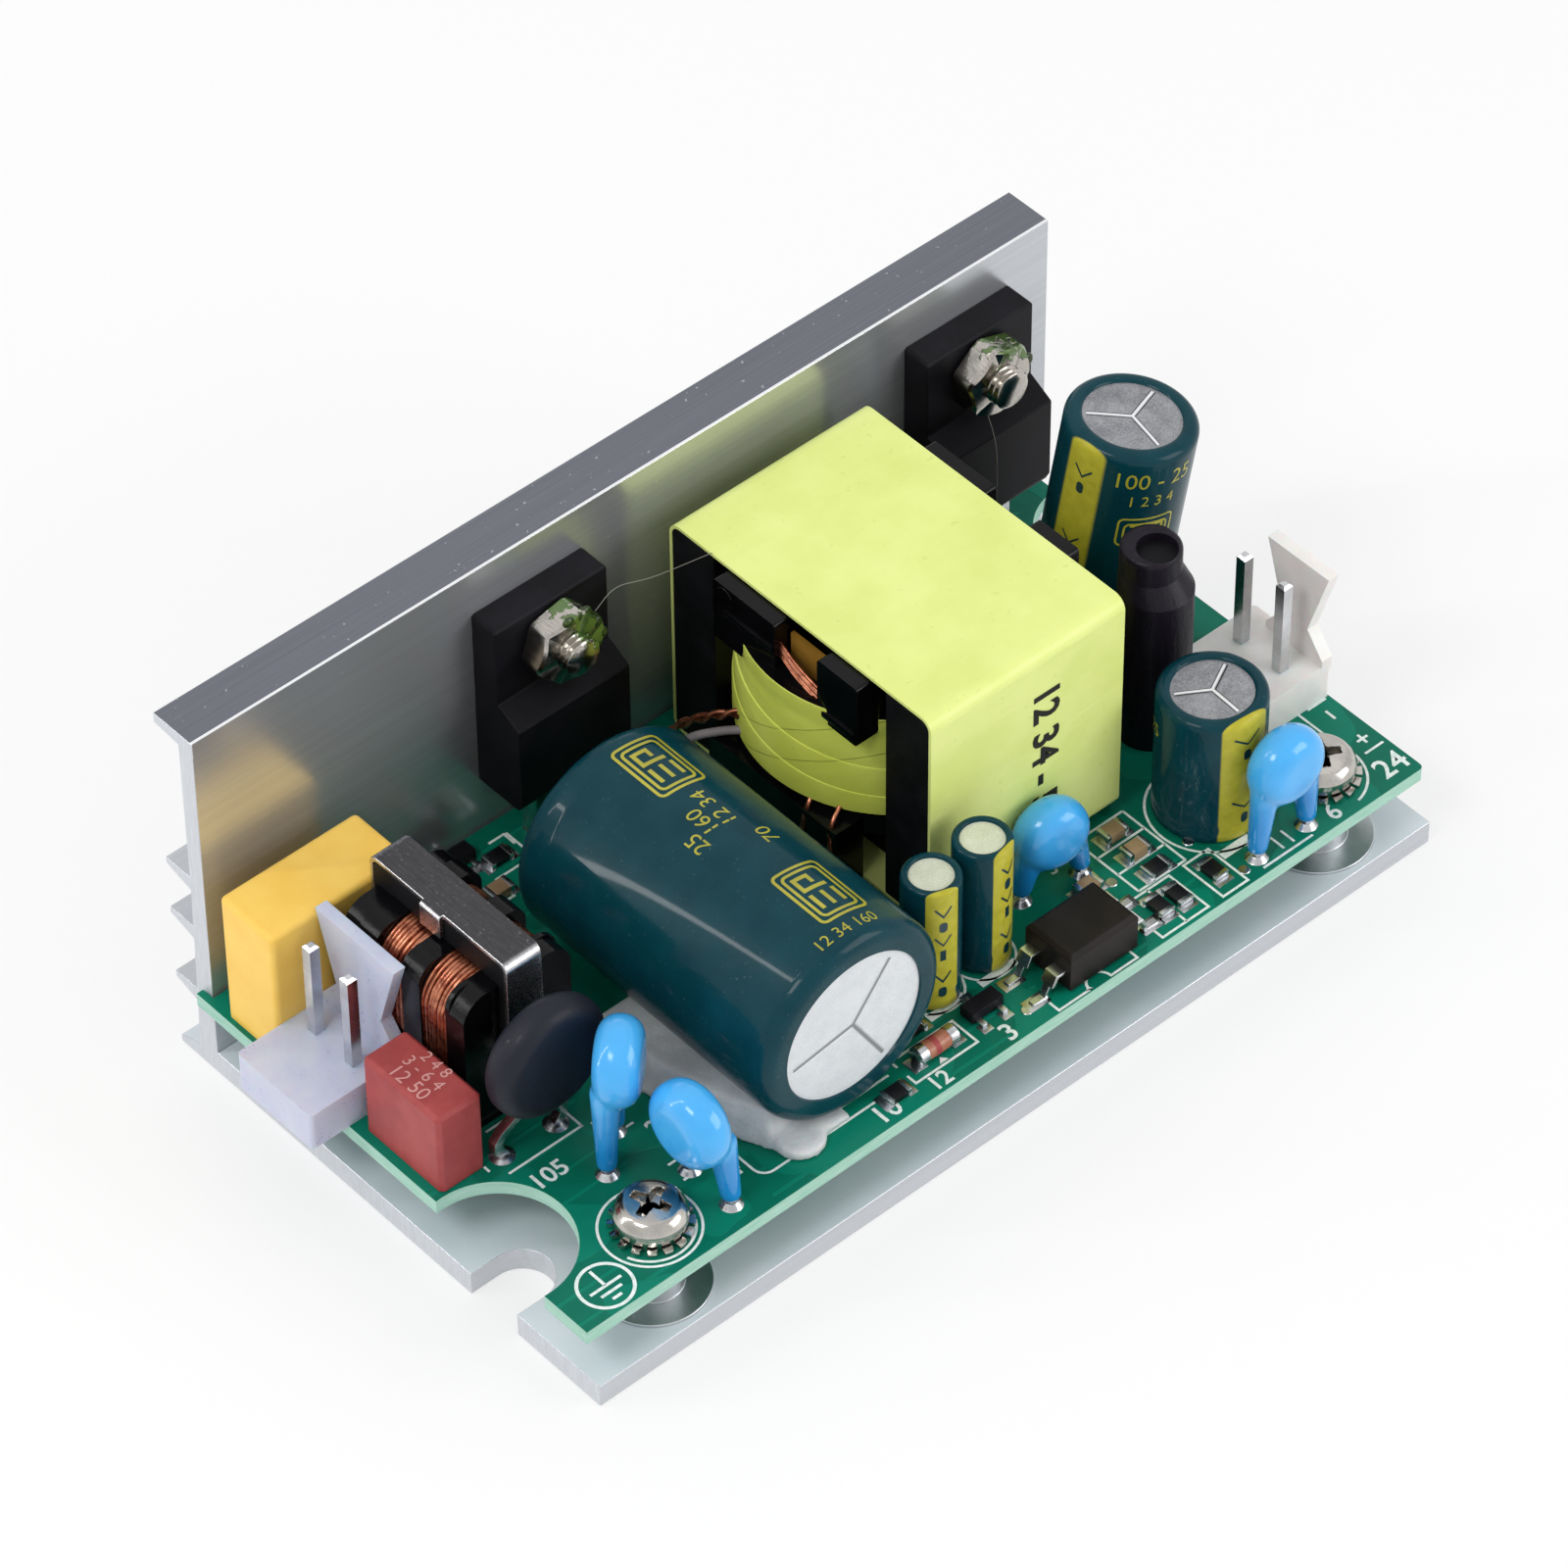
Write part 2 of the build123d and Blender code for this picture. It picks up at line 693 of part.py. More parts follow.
def transformer_tape():
    """Insulating tape wrapped end over end round the core, holding the halves together."""
    outer = block(
        core_x0, core_x1, core_y0 - tape_t, core_y1 + tape_t, core_z0 - tape_t, core_z1 + tape_t
    )
    outer = fillet(outer.edges().filter_by(Axis.X), core_edge_r + tape_t)
    core = block(core_x0 - 1, core_x1 + 1, core_y0, core_y1, core_z0, core_z1)
    return outer - fillet(core.edges().filter_by(Axis.X), core_edge_r)


def transformer_wires():
    """Enamelled wires dropping to the pins, and two leads that go straight down to the board."""
    wires = []
    x_rail = core_x - rail_reach
    for y in wire_ys:
        wires.append(block(x_rail - 0.35, x_rail, y, y + 0.35, board_top + 0.8, winding_z[0] + 1.2))
    solid_parts = transformer_winding() + transformer_bobbin()
    for width, path in flying_leads:
        foot = path[-1]
        through_pins.append((foot[0], foot[1], width))
        route = [(foot[0], foot[1], board_low - pin_tail), *reversed(path)]
        wires.append(bent_wire(route, width) - solid_parts)
    return wires


# Output side.
tall_at = (69.5, 26.4)
short_at = (63.4, 7.9)
small_at = ((37.0, 7.9), (41.9, 8.1))
inductor_at = (65.9, 16.3)
inductor_collar_at = (65.9, 16.9)
inductor_d = 5.5
inductor_h = 17.4
inductor_collar_d = 4.5
inductor_core_r = 1.5
inductor_wire_r = 2.2
inductor_neck = 3.9
opto_at = (47.0, 3.4)
opto_size = (6.4, 4.6, 3.5)
opto_lead_z = 2.0
opto_lead_t = 0.25


def can_and_sleeve(diameter, height):
    """Upright capacitor on z = 0: the can, and the printed sleeve shrunk over its shoulder."""
    r = diameter / 2
    base = Align.CENTER, Align.CENTER, Align.MIN
    can = Cylinder(r - sleeve_t, height - 0.5 - sleeve_t, align=base)
    can = fillet(can.edges().group_by(Axis.Z)[-1], 0.12 * r)
    can = Pos(0, 0, 0.5) * can
    outside = Cylinder(r, height, align=base)
    outside = fillet(outside.edges().group_by(Axis.Z)[-1], 0.16 * r)
    inside = Cylinder(r - sleeve_t, height - sleeve_t, align=base)
    inside = fillet(inside.edges().group_by(Axis.Z)[-1], 0.12 * r)
    sleeve = outside - inside - Cylinder(0.76 * r, 3 * height)
    return can, sleeve


def upright_caps():
    """Every upright capacitor with its size, place and lean: the output pair, then the small pair."""
    output_pair = [(tall_cap, tall_at, tall_lean), (short_cap, short_at, 0.0)]
    return output_pair, [(small_cap, spot, 0.0) for spot in small_at]


def stand(x, y, lean):
    """Seat on the board; a leaning part turns about the edge that still touches."""
    return Pos(x, y, board_top) * Rot(0, 0, -25) * Rot(0, lean, 0)


def cans(group):
    return [place_cap(cap)[0] for cap in group]


def sleeves(group):
    return [place_cap(cap)[1] for cap in group]


def place_cap(cap):
    (diameter, height), (x, y), lean = cap
    can, sleeve = can_and_sleeve(diameter, height)
    lift = diameter / 2 * sin(radians(lean))
    seat = Pos(0, 0, lift) * stand(x, y, lean)
    return seat * can, seat * sleeve


def cap_leads(group):
    """Leads reach up to the underside of the can, which stands a little off the board."""
    leads = []
    for (diameter, _), (x, y), lean in group:
        half = 0.25 * diameter
        for side in (-1, 1):
            rise = 0.5 + diameter / 2 * sin(radians(lean)) - side * half * sin(radians(lean))
            leads.append(board_pin(x + side * half, y, 0.6, board_top + rise - (0.12 if lean else 0)))
    return leads


def inductor_core():
    x, y = inductor_at
    return rod(x, y, board_top + 0.6, board_top + inductor_h - 0.7, inductor_core_r)


def inductor_winding():
    x, y = inductor_at
    low, high = board_top + 0.9, board_top + inductor_h - inductor_neck
    coil = rod(x, y, low, high, inductor_wire_r)
    return coil - rod(x, y, low - 1, high + 1, inductor_core_r)


def inductor_sleeve():
    """Heat-shrink sleeve drawn in at the top round the end of the core."""
    x, y = inductor_at
    low, high = board_top, board_top + inductor_h
    shoulder, neck = high - 3.6, high - 2.2
    outer, collar = inductor_d / 2, inductor_collar_d / 2
    top_x, top_y = inductor_collar_at
    body = rod(x, y, low, shoulder, outer)
    body += loft([
        (Pos(x, y, shoulder) * Circle(outer)).face(), (Pos(top_x, top_y, neck) * Circle(collar)).face(),
    ])
    body += rod(top_x, top_y, neck, high, collar)
    body = fillet(body.edges().filter_by(GeomType.CIRCLE).group_by(Axis.Z)[-1], 0.5)
    coil_top = high - inductor_neck
    body -= rod(x, y, low - 1, coil_top, inductor_wire_r)
    return body - rod(x, y, low, high + 1, inductor_core_r)


def inductor_leads():
    x, y = inductor_at
    return [board_pin(x + side * 1.8, y, 0.6, board_top + 0.9) for side in (-1, 1)]


def optocoupler():
    w, d, h = opto_size
    x, y = opto_at
    body = block(x - w / 2, x + w / 2, y - d / 2, y + d / 2, board_top + 0.25, board_top + h)
    return chamfer(body.edges().group_by(Axis.Z)[-1], 0.35)


def opto_leads():
    """Formed leads, two at each end: a wide shoulder, then a narrow leg spread down to its foot."""
    w = opto_size[0]
    x, y = opto_at
    t, z = opto_lead_t, opto_lead_z
    wall = w / 2
    drop = z - 0.9
    shoulder = [
        (wall, z), (wall + 0.9, z), (wall + 1.3, drop),
        (wall + 1.0, drop), (wall + 0.7, z - t), (wall, z - t),
    ]
    leg = [
        (wall + 1.3, drop), (wall + 1.7, t), (wall + 2.7, t),
        (wall + 2.7, 0), (wall + 1.4, 0), (wall + 1.0, drop),
    ]
    leads = []
    for side in (-1, 1):
        for row in (-1, 1):
            lead = None
            for outline, width in ((shoulder, 1.2), (leg, 0.6)):
                profile = make_face(Polyline(*[(side * a, b) for a, b in outline], close=True))
                strip = extrude(Plane.XZ * profile, width / 2, both=True)
                lead = strip if lead is None else lead + strip
            leads.append(Pos(x, y + row * lead_pitch / 2, board_top) * lead)
    return leads


# Flat parts soldered on the top face: middle and size along x, y and z.
chip_size = (2.0, 1.25, 0.6)
chip_resistor_places = (
    (53.9, 2.9, 90), (55.6, 2.8, 90), (59.1, 2.9, 90), (56.3, 5.7, 0),
    (33.4, 5.9, 0), (28.6, 2.2, 0), (22.9, 37.2, 0),
)
chip_capacitor_places = ((56.3, 10.1, 0), (56.3, 7.8, 0), (51.4, 7.4, 0), (20.8, 34.6, 0))
transistor_places = ((38.3, 4.1), (20.4, 38.9))
diode_at = (33.3, 3.4)


def chip(x, y, turn, height):
    w, d, _ = chip_size
    body = Box(w, d, height, align=(Align.CENTER, Align.CENTER, Align.MIN))
    return Pos(x, y, board_top) * Rot(0, 0, turn) * body


def chip_resistors():
    return [chip(x, y, turn, chip_size[2]) for x, y, turn in chip_resistor_places]


def chip_capacitors():
    return [chip(x, y, turn, chip_size[2] + 0.3) for x, y, turn in chip_capacitor_places]


def small_transistors():
    bodies = []
    for x, y in transistor_places:
        body = block(x - 1.45, x + 1.45, y - 0.65, y + 0.65, board_top + 0.1, board_top + 1.0)
        for dx, side in ((-0.95, -1), (0.95, -1), (0, 1)):
            near, far = sorted((y + side * 0.65, y + side * 1.3))
            body += block(x + dx - 0.2, x + dx + 0.2, near, far, board_top, board_top + 0.35)
        bodies.append(body)
    return bodies


def glass_diode():
    x, y = diode_at
    return Pos(x, y, board_top + 0.7) * Rot(0, 90, 0) * Cylinder(0.7, 3.5)


# Flat parts soldered under the board, out of sight.
bridge_at = (9.7, 26.0)
controller_at = (33.0, 12.0)


def under_board_package(x, y, w, d, h):
    return block(x - w / 2, x + w / 2, y - d / 2, y + d / 2, board_low - h, board_low)


def bridge_rectifier():
    return under_board_package(*bridge_at, 4.7, 3.9, 2.3)


def controller_chip():
    return under_board_package(*controller_at, 4.9, 3.9, 1.6)


# Board and solder, made last because they need every pin.
def circuit_board():
    x1 = board_x0 + board_length
    y1 = wall_y - board_wall_gap
    board = block(board_x0, x1, board_y0, y1, board_low, board_top)
    board = fillet(board.edges().filter_by(Axis.Z).sort_by_distance((x1, board_y0, board_low))[0], 0.4)
    board += block(board_x0, -0.1, y1 - 1, wall_y + 0.9, board_low, board_top)
    board -= rod(board_x0 + 0.5, 10.2, 0, board_top + 1, notch_r_mains)
    board -= rod(x1, slot_y_output, 0, board_top + 1, notch_r_output)
    for x in screw_x:
        board -= rod(x, screw_y, 0, board_top + 1, screw_d / 2 + pad_clearance)
    holes = [square_pin(x, y, board_low - 1, board_top + 1, w + 0.2) for x, y, w in through_pins]
    return board - Compound(children=holes)


def solder_joints():
    """A fillet of solder under the board round every pin."""
    joints = []
    for x, y, w in through_pins:
        wide, narrow = w / 2 + 0.55, w / 2 + 0.12
        lower = Plane.XY.offset(-0.75) * RegularPolygon(narrow, 6, rotation=30)
        cone = loft([RegularPolygon(wide, 6, rotation=30).face(), lower.face()])
        joints.append(Pos(x, y, board_low) * cone - square_pin(x, y, board_low - 2, board_low + 1, w))
    return joints


os.makedirs("parts", exist_ok=True)
upright, small_upright = upright_caps()
save("heat_sink", heat_sink())
save("board_standoffs", *board_standoffs())
save("board_screws", *board_screws())
save("screw_washers", *screw_washers())
save("mains_connector", connector(*mains_header, 0))
save("mains_connector_pins", *connector_pins(*mains_header))
save("output_connector", connector(*output_header, output_lock_inset))
save("output_connector_pins", *connector_pins(*output_header))
save("box_capacitor", box_capacitor())
save("box_capacitor_leads", *box_capacitor_leads())
save("fuse", fuse_body())
save("fuse_leads", *fuse_leads())
save("choke_core", choke_core())
save("choke_bobbin", choke_bobbin())
save("choke_pins", *choke_pins())
save("choke_windings", *choke_windings())
save("choke_clip", choke_clip())
save("thermistor", thermistor())
save("thermistor_leads", *thermistor_leads())
save("blue_capacitors", *blue_capacitors())
save("blue_capacitor_leads", *blue_capacitor_leads())
save("bulk_sleeve", bulk_sleeve())
save("bulk_can", bulk_can())
save("bulk_bung", bulk_bung())
save("bulk_leads", *bulk_leads())
save("silicone_bead", silicone_bead())
save("switch_transistor", package(package_x[0]))
save("switch_transistor_leads", *package_leads(package_x[0]))
save("output_rectifier", package(package_x[1]))
save("output_rectifier_leads", *package_leads(package_x[1]))
save("clamp_screws", *clamp_screws())
save("clamp_nuts", *clamp_nuts())
save("transformer_core", *transformer_core())
save("transformer_bobbin", transformer_bobbin())
save("transformer_pins", *transformer_pins_solids())
save("transformer_winding", transformer_winding())
save("transformer_tape", transformer_tape())
save("transformer_wires", *transformer_wires())
save("output_capacitor_cans", *cans(upright))
save("output_capacitor_sleeves", *sleeves(upright))
save("output_capacitor_leads", *cap_leads(upright))
save("supply_capacitor_cans", *cans(small_upright))
save("supply_capacitor_sleeves", *sleeves(small_upright))
save("supply_capacitor_leads", *cap_leads(small_upright))
save("inductor_core", inductor_core())
save("inductor_winding", inductor_winding())
save("inductor_sleeve", inductor_sleeve())
save("inductor_leads", *inductor_leads())
save("optocoupler", optocoupler())
save("optocoupler_leads", *opto_leads())
save("chip_resistors", *chip_resistors())
save("chip_capacitors", *chip_capacitors())
save("small_transistors", *small_transistors())
save("glass_diode", glass_diode())
save("bridge_rectifier", bridge_rectifier())
save("controller_chip", controller_chip())
save("circuit_board", circuit_board())
save("solder_joints", *solder_joints())
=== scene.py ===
import random
from math import ceil, cos, pi, radians, sin, tau

import bmesh
import bpy
from mathutils import Matrix, Vector


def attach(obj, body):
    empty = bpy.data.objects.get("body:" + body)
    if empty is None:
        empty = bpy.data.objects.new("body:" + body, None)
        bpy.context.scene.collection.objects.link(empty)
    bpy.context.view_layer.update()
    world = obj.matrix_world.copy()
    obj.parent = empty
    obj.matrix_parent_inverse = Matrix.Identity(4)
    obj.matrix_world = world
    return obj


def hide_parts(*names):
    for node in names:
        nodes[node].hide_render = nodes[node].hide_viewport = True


# Looks of an open-frame power supply module: a component board on an L-shaped finned heat sink.
# Lengths are in millimetres from the mains end (x) and the open front edge (y) of the heat sink,
# as a maker would measure them; pieces are brought to metres and to the shared frame at the end.
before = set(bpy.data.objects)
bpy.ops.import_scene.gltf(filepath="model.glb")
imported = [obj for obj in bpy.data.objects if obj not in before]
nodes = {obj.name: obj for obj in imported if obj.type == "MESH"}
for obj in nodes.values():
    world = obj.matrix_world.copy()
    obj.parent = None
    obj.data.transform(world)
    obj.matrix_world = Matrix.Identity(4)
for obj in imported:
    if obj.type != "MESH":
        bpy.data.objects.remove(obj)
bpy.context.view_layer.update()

MM = 0.001
PLATE_CORNER = (-39.0, -22.3, 0.0)
TO_FRAME = Matrix.Scale(MM, 4) @ Matrix.Translation(PLATE_CORNER)
chance = random.Random(21)

# Heights and thicknesses: ink on the board and on sleeves stands a little proud, a pad is solder thin,
# and a ring of points in the middle of a round face keeps the least radius.
BOARD_TOP = 7.85
WALL_Y = 40.5
INK_Z = BOARD_TOP + 0.025
PRINT_LIFT = 0.02
PAD = 0.06
LEAST_R = 1e-4

# Middle and turn of each chip part and board screw, and place along the wall and turn of each clamp nut.
CHIP_RESISTORS = (
    (53.9, 2.9, 90), (55.6, 2.8, 90), (59.1, 2.9, 90), (56.3, 5.7, 0),
    (33.4, 5.9, 0), (28.6, 2.2, 0), (22.9, 37.2, 0),
)
CHIP_CAPACITORS = ((56.3, 10.1, 0), (56.3, 7.8, 0), (51.4, 7.4, 0), (20.8, 34.6, 0))
SMALL_TRANSISTORS = ((38.3, 4.1), (20.4, 38.9))
BOARD_SCREWS = ((8.7, 4.6, 20.0), (71.2, 4.6, -30.0))
CLAMP_SCREWS = ((29.2, 12.0), (69.2, 40.0))
CLAMP_Z = 25.4
HEAD_R = 2.6

# The transformer's drum, the choke's middle, and the lying capacitor.
DRUM_X, DRUM_Y = 49.3, 25.0
CHOKE_X, CHOKE_Z = 9.45, BOARD_TOP + 7.55
BULK_R, BULK_LENGTH = 8.1, 26.0


# Colours and shader maths


def shade(code):
    """A colour written as six hex digits, in the light values a shader takes."""
    parts = [int(code[i : i + 2], 16) / 255 for i in (0, 2, 4)]
    return tuple(p / 12.92 if p <= 0.04045 else ((p + 0.055) / 1.055) ** 2.4 for p in parts)


def adds_node(operation, swapped=False, last=()):
    """An operator that adds one maths node to the tree that its flow belongs to."""

    def method(self, other):
        pair = (other, self) if swapped else (self, other)
        return self.tree.maths(operation, *pair, *last)

    return method


class Flow:
    """An output socket in a tree. Arithmetic on it adds the nodes that it needs."""

    def __init__(self, tree, socket):
        self.tree = tree
        self.socket = socket

    def __abs__(self):
        return self.tree.maths("ABSOLUTE", self)

    __add__ = __radd__ = adds_node("ADD")
    __sub__ = adds_node("SUBTRACT")
    __rsub__ = adds_node("SUBTRACT", swapped=True)
    __mul__ = __rmul__ = adds_node("MULTIPLY")
    __truediv__ = adds_node("DIVIDE")
    __mod__ = adds_node("WRAP", last=(0.0,))
    __and__ = __rand__ = adds_node("MINIMUM")
    __or__ = adds_node("MAXIMUM")
    __gt__ = adds_node("GREATER_THAN")
    __lt__ = adds_node("LESS_THAN")


class Tree:
    """The shader nodes of a material or of the world."""

    def __init__(self, owner):
        owner.use_nodes = True
        self.nodes = owner.node_tree.nodes
        self.links = owner.node_tree.links
        self.nodes.clear()

    def feed(self, socket, value):
        """Link a flow to an input socket, or set the socket to a number or a colour."""
        if isinstance(value, Flow):
            self.links.new(value.socket, socket)
        elif isinstance(value, str):
            socket.default_value = (*shade(value), 1.0)
        else:
            socket.default_value = value

    def node(self, kind, settings=None, values=None, take=0):
        made = self.nodes.new("ShaderNode" + kind)
        for key, value in (settings or {}).items():
            setattr(made, key, value)
        for key, value in (values or {}).items():
            if value is not None:
                self.feed(made.inputs[key], value)
        return Flow(self, made.outputs[take])

    def maths(self, operation, a, b=None, c=None):
        return self.node("Math", {"operation": operation}, {0: a, 1: b, 2: c})

    def seen(self):
        """One where it is looked at straight, in a mirror or through glass, else zero."""
        kinds = ("Is Camera Ray", "Is Glossy Ray", "Is Transmission Ray")
        straight, mirrored, through = [self.node("LightPath", take=kind) for kind in kinds]
        return straight | mirrored | through


class Finish(Tree):
    """One material. Fixed values go on the shader's own sockets; flows vary over the surface."""

    def __init__(self, name, slot, colour, rough, metal=0.0, **fixed):
        self.slot = slot
        self.material = bpy.data.materials.new(name)
        super().__init__(self.material)
        self.shader = self.nodes.new("ShaderNodeBsdfPrincipled")
        self.output = self.nodes.new("ShaderNodeOutputMaterial")
        self.feed(self.output.inputs["Surface"], Flow(self, self.shader.outputs[0]))
        self.wear(colour=colour, rough=rough, metal=metal)
        fixed.setdefault("specular_ior_level", 0.3)
        for key, value in fixed.items():
            socket = key.replace("_", " ").title().replace("Ior", "IOR")
            self.feed(self.shader.inputs[socket], value)

    def wear(self, **looks):
        """Set what the surface shows: a fixed value or a flow for each."""
        sockets = {"colour": "Base Color", "rough": "Roughness", "metal": "Metallic", "coat": "Coat Weight"}
        for look, value in looks.items():
            self.feed(self.shader.inputs[sockets[look]], value)

    def step(self, value, low, high):
        """Zero under low, one over high, smooth between."""
        limits = {"Value": value, "From Min": low, "From Max": high}
        return self.node("MapRange", {"interpolation_type": "SMOOTHSTEP"}, limits)

    def blend(self, share, under, over):
        return self.node("Mix", {"data_type": "RGBA"}, {0: share, 6: under, 7: over}, 2)

    def vector(self, operation, a, b, take=0):
        return self.node("VectorMath", {"operation": operation}, {0: a, 1: b}, take)

    def place(self):
        """Position in millimetres from the corner of the heat sink's plate."""
        spot = self.node("TexCoord", take=3)
        grown = self.node("VectorMath", {"operation": "SCALE"}, {0: spot, "Scale": 1.0 / MM})
        return self.vector("SUBTRACT", grown, PLATE_CORNER)

    def split(self, vector):
        return [self.node("SeparateXYZ", None, {0: vector}, i) for i in range(3)]

    def facing(self):
        """The surface's own direction, as three flows."""
        return self.split(self.node("NewGeometry", take=1))

    def noise(self, scale, detail=3.0, rough=0.5, warp=0.0):
        """Soft noise. A tuple of three scales stretches it."""
        spot = self.place()
        if isinstance(scale, tuple):
            spot = self.vector("MULTIPLY", spot, scale)
            scale = 1.0
        values = {"Vector": spot, "Scale": scale, "Detail": detail, "Roughness": rough, "Distortion": warp}
        return self.node("TexNoise", None, values)

    def bump(self, height, depth):
        """Raise the surface by height times depth, in millimetres."""
        raised = self.node("Bump", None, {"Distance": depth * MM, "Height": height})
        self.feed(self.shader.inputs["Normal"], raised)

    def round_frame(self, matrix):
        """Position in a part's own frame, where its middle line is the third axis."""
        spot = self.place()
        rows = matrix.inverted()[:3]
        return [self.vector("DOT_PRODUCT", spot, tuple(row[:3]), 1) + row[3] for row in rows]

    def nearest_arm(self, a, b, arms, reach):
        """Distance from a few straight arms that run out from the middle of a round face."""
        far = 9.0
        closest = far
        for turn in arms:
            out = a * cos(radians(turn)) + b * sin(radians(turn))
            aside = abs(b * cos(radians(turn)) - a * sin(radians(turn)))
            closest = closest & (aside + far * (out < 0.0) + far * (out > reach))
        return closest


# Finishes


def aluminium():
    """Extruded aluminium: drawn streaks along its length, a matt plate painted pale on top as if brightly
    lit, the flange's top painted dark as a dark reflection, sawn ends, and a highlight painted along the
    flange's inner edge.
    """
    f = Finish("drawn aluminium", "sink", "b4b7bb", 0.32, metal=1.0)
    nx, _, nz = f.facing()
    _, y, z = f.split(f.place())
    streaks = f.noise((0.02, 2.6, 2.6), 4.0, 0.6)
    fine = f.noise((0.05, 12.0, 12.0), 2.0, 0.5)
    cloud = f.noise(0.12)
    nicks = f.step(f.noise(2.2, 2.0), 0.71, 0.74)
    cut = f.step(abs(nx), 0.7, 0.9)
    up = f.step(nz, 0.9, 0.98)
    plate = up * (z < 5.0)
    lip = up * (z > 30.0)
    # Painted highlight: a bright band painted along the flange's inner top edge.
    painted_arris_highlight = (nz > 0.25) & (z > 31.0) & (y < WALL_Y + 0.22)
    face = f.blend(f.step(streaks, 0.3, 0.7), "c3c6ca", "cacdd2")
    # Painted reflection: the flange's top faces are painted dark grey, standing for the dark reflection they
    # show, though the metal is the wall's.
    face = f.blend(lip, face, f.blend(f.step(fine, 0.2, 0.8), "73757e", "7f818a"))
    # Painted light: the plate's top faces are painted pale blue-white, as if brightly lit, though the metal
    # is the wall's.
    face = f.blend(plate, face, f.blend(f.step(cloud, 0.3, 0.7), "d6e2e9", "e2ebf0"))
    sawn = f.blend(f.noise((1.0, 4.0, 0.5), 3.0, 0.6), "bcc0c6", "dcdfe3")
    face = f.blend(cut, face, sawn)
    face = f.blend(nicks * 0.35, face, "eceef0")
    # The colour carries the painted highlight on the flange's inner edge.
    f.wear(
        colour=f.blend(painted_arris_highlight, face, "f4f5f7"),
        rough=0.24 + 0.03 * streaks + 0.26 * up + 0.2 * cut,
        metal=0.7 - 0.62 * plate - 0.4 * cut + 0.2 * lip + 0.3 * painted_arris_highlight,
    )
    f.bump(fine * 0.3 + streaks * 0.05 - nicks, 0.01)
    return f


def solder_mask():
    """Green mask over copper pours and thin tracks, with pale cut edges of glass laminate."""
    f = Finish("green board", "board", "0b745c", 0.3, coat_roughness=0.2, specular_ior_level=0.12)
    nz = f.facing()[2]
    y = f.split(f.place())[1]
    edge = 1.0 - f.step(abs(nz), 0.5, 0.8)
    pour = f.step(f.noise(0.16, 1.0, 0.4), 0.47, 0.49)
    lanes = 1.0 - f.step(abs(y % 2.2 - 1.1), 0.14, 0.18)
    tracks = lanes * (1.0 - pour) * f.step(f.noise(0.09, 0.0, 0.0), 0.5, 0.51)
    raised = pour | tracks
    cloud = f.noise(0.5)
    warp_threads = f.noise((5.0, 0.7, 1.0), 1.0)
    weft_threads = f.noise((0.7, 5.0, 1.0), 1.0)
    green = f.blend(raised, "066650", "08775f")
    green = f.blend(cloud * 0.25, green, "12977f")
    layer = f.noise((0.4, 0.4, 9.0), 2.0, 0.6)
    f.wear(
        colour=f.blend(edge, green, f.blend(layer, "6fb49c", "c9e2d6")),
        rough=0.28 + 0.35 * edge + 0.08 * cloud,
        coat=0.08 * (1.0 - edge),
    )
    f.bump(raised * 0.8 + warp_threads * weft_threads * 0.4 + layer * edge, 0.03)
    return f


def ink():
    """White printing ink on the board, a little thin where it runs over the weave."""
    f = Finish("white board ink", "board", "eaf3ee", 0.5)
    thin = f.step(f.noise(3.0, 3.0, 0.6), 0.35, 0.75)
    f.wear(colour=f.blend(thin, "f2f7f4", "c9e2d8"), rough=0.45 + 0.2 * thin)
    f.bump(f.noise(6.0, 2.0), 0.01)
    return f


def plated(name, slot, dark, light, rough=0.18, scale=1.2):
    """Bright plated metal, nearly even, with hair-fine scores and a few dull specks."""
    f = Finish(name, slot, light, rough, metal=1.0)
    cloud = f.noise(scale * 0.4, 2.0)
    scores = f.noise((9.0, 0.6, 9.0), 3.0, 0.6, warp=0.3)
    specks = f.step(f.noise(scale * 4.0, 2.0), 0.68, 0.74)
    tone = f.step(cloud, 0.2, 0.8) * 0.5 + scores * 0.5
    f.wear(colour=f.blend(tone - 0.3 * specks, dark, light), rough=rough + 0.12 * specks + 0.1 * scores)
    f.bump(scores * 0.4 + cloud, 0.006)
    return f


def clip_steel():
    """Bright sheet steel with fine scores and dull specks, its upward faces painted dark as a dark reflection
    while its sides and bends keep the bright tone.
    """
    f = Finish("bright clip steel", "steel", "bdbcbe", 0.24, metal=1.0)
    scores = f.noise((9.0, 0.8, 9.0), 3.0, 0.6)
    specks = f.step(f.noise(5.0, 2.0), 0.66, 0.72)
    # Painted reflection: upward faces take a dark tone, all other faces the bright one.
    top_painted_dark = f.step(f.facing()[2], 0.8, 0.98)
    tone = f.blend(top_painted_dark, f.blend(scores, "a3a2a4", "dad9db"), f.blend(scores, "39383a", "5c5b5e"))
    f.wear(colour=f.blend(specks * 0.4, tone, "a5a5a7"), rough=0.2 + 0.14 * scores)
    f.bump(scores, 0.008)
    return f


def copper_wire():
    """Copper under clear enamel that is a little darker in places."""
    f = Finish("enamelled copper", "copper", "b8674a", 0.26, metal=0.9, coat_roughness=0.12)
    cloud = f.noise(1.4, 3.0, 0.6)
    f.wear(
        colour=f.blend(f.step(cloud, 0.3, 0.7), "8c4630", "cd8462"),
        rough=0.22 + 0.12 * cloud,
        coat=0.3 + 0.2 * cloud,
    )
    f.bump(f.noise(4.0, 2.0), 0.01)
    return f


def moulding(name, slot, dark, light, rough, grain=2.0, depth=0.01, **fixed):
    """Moulded plastic or ceramic with a fine grain and a slight change of tone."""
    f = Finish(name, slot, light, rough, **fixed)
    cloud = f.noise(0.35, 3.0, 0.55)
    fine = f.noise(grain * 4.0, 3.0, 0.6)
    f.wear(
        colour=f.blend(f.step(cloud, 0.3, 0.7) * 0.7 + 0.3 * fine, dark, light),
        rough=rough + 0.12 * (fine - 0.5) + 0.08 * (cloud - 0.5),
    )
    f.bump(fine + cloud * 0.5, depth)
    return f


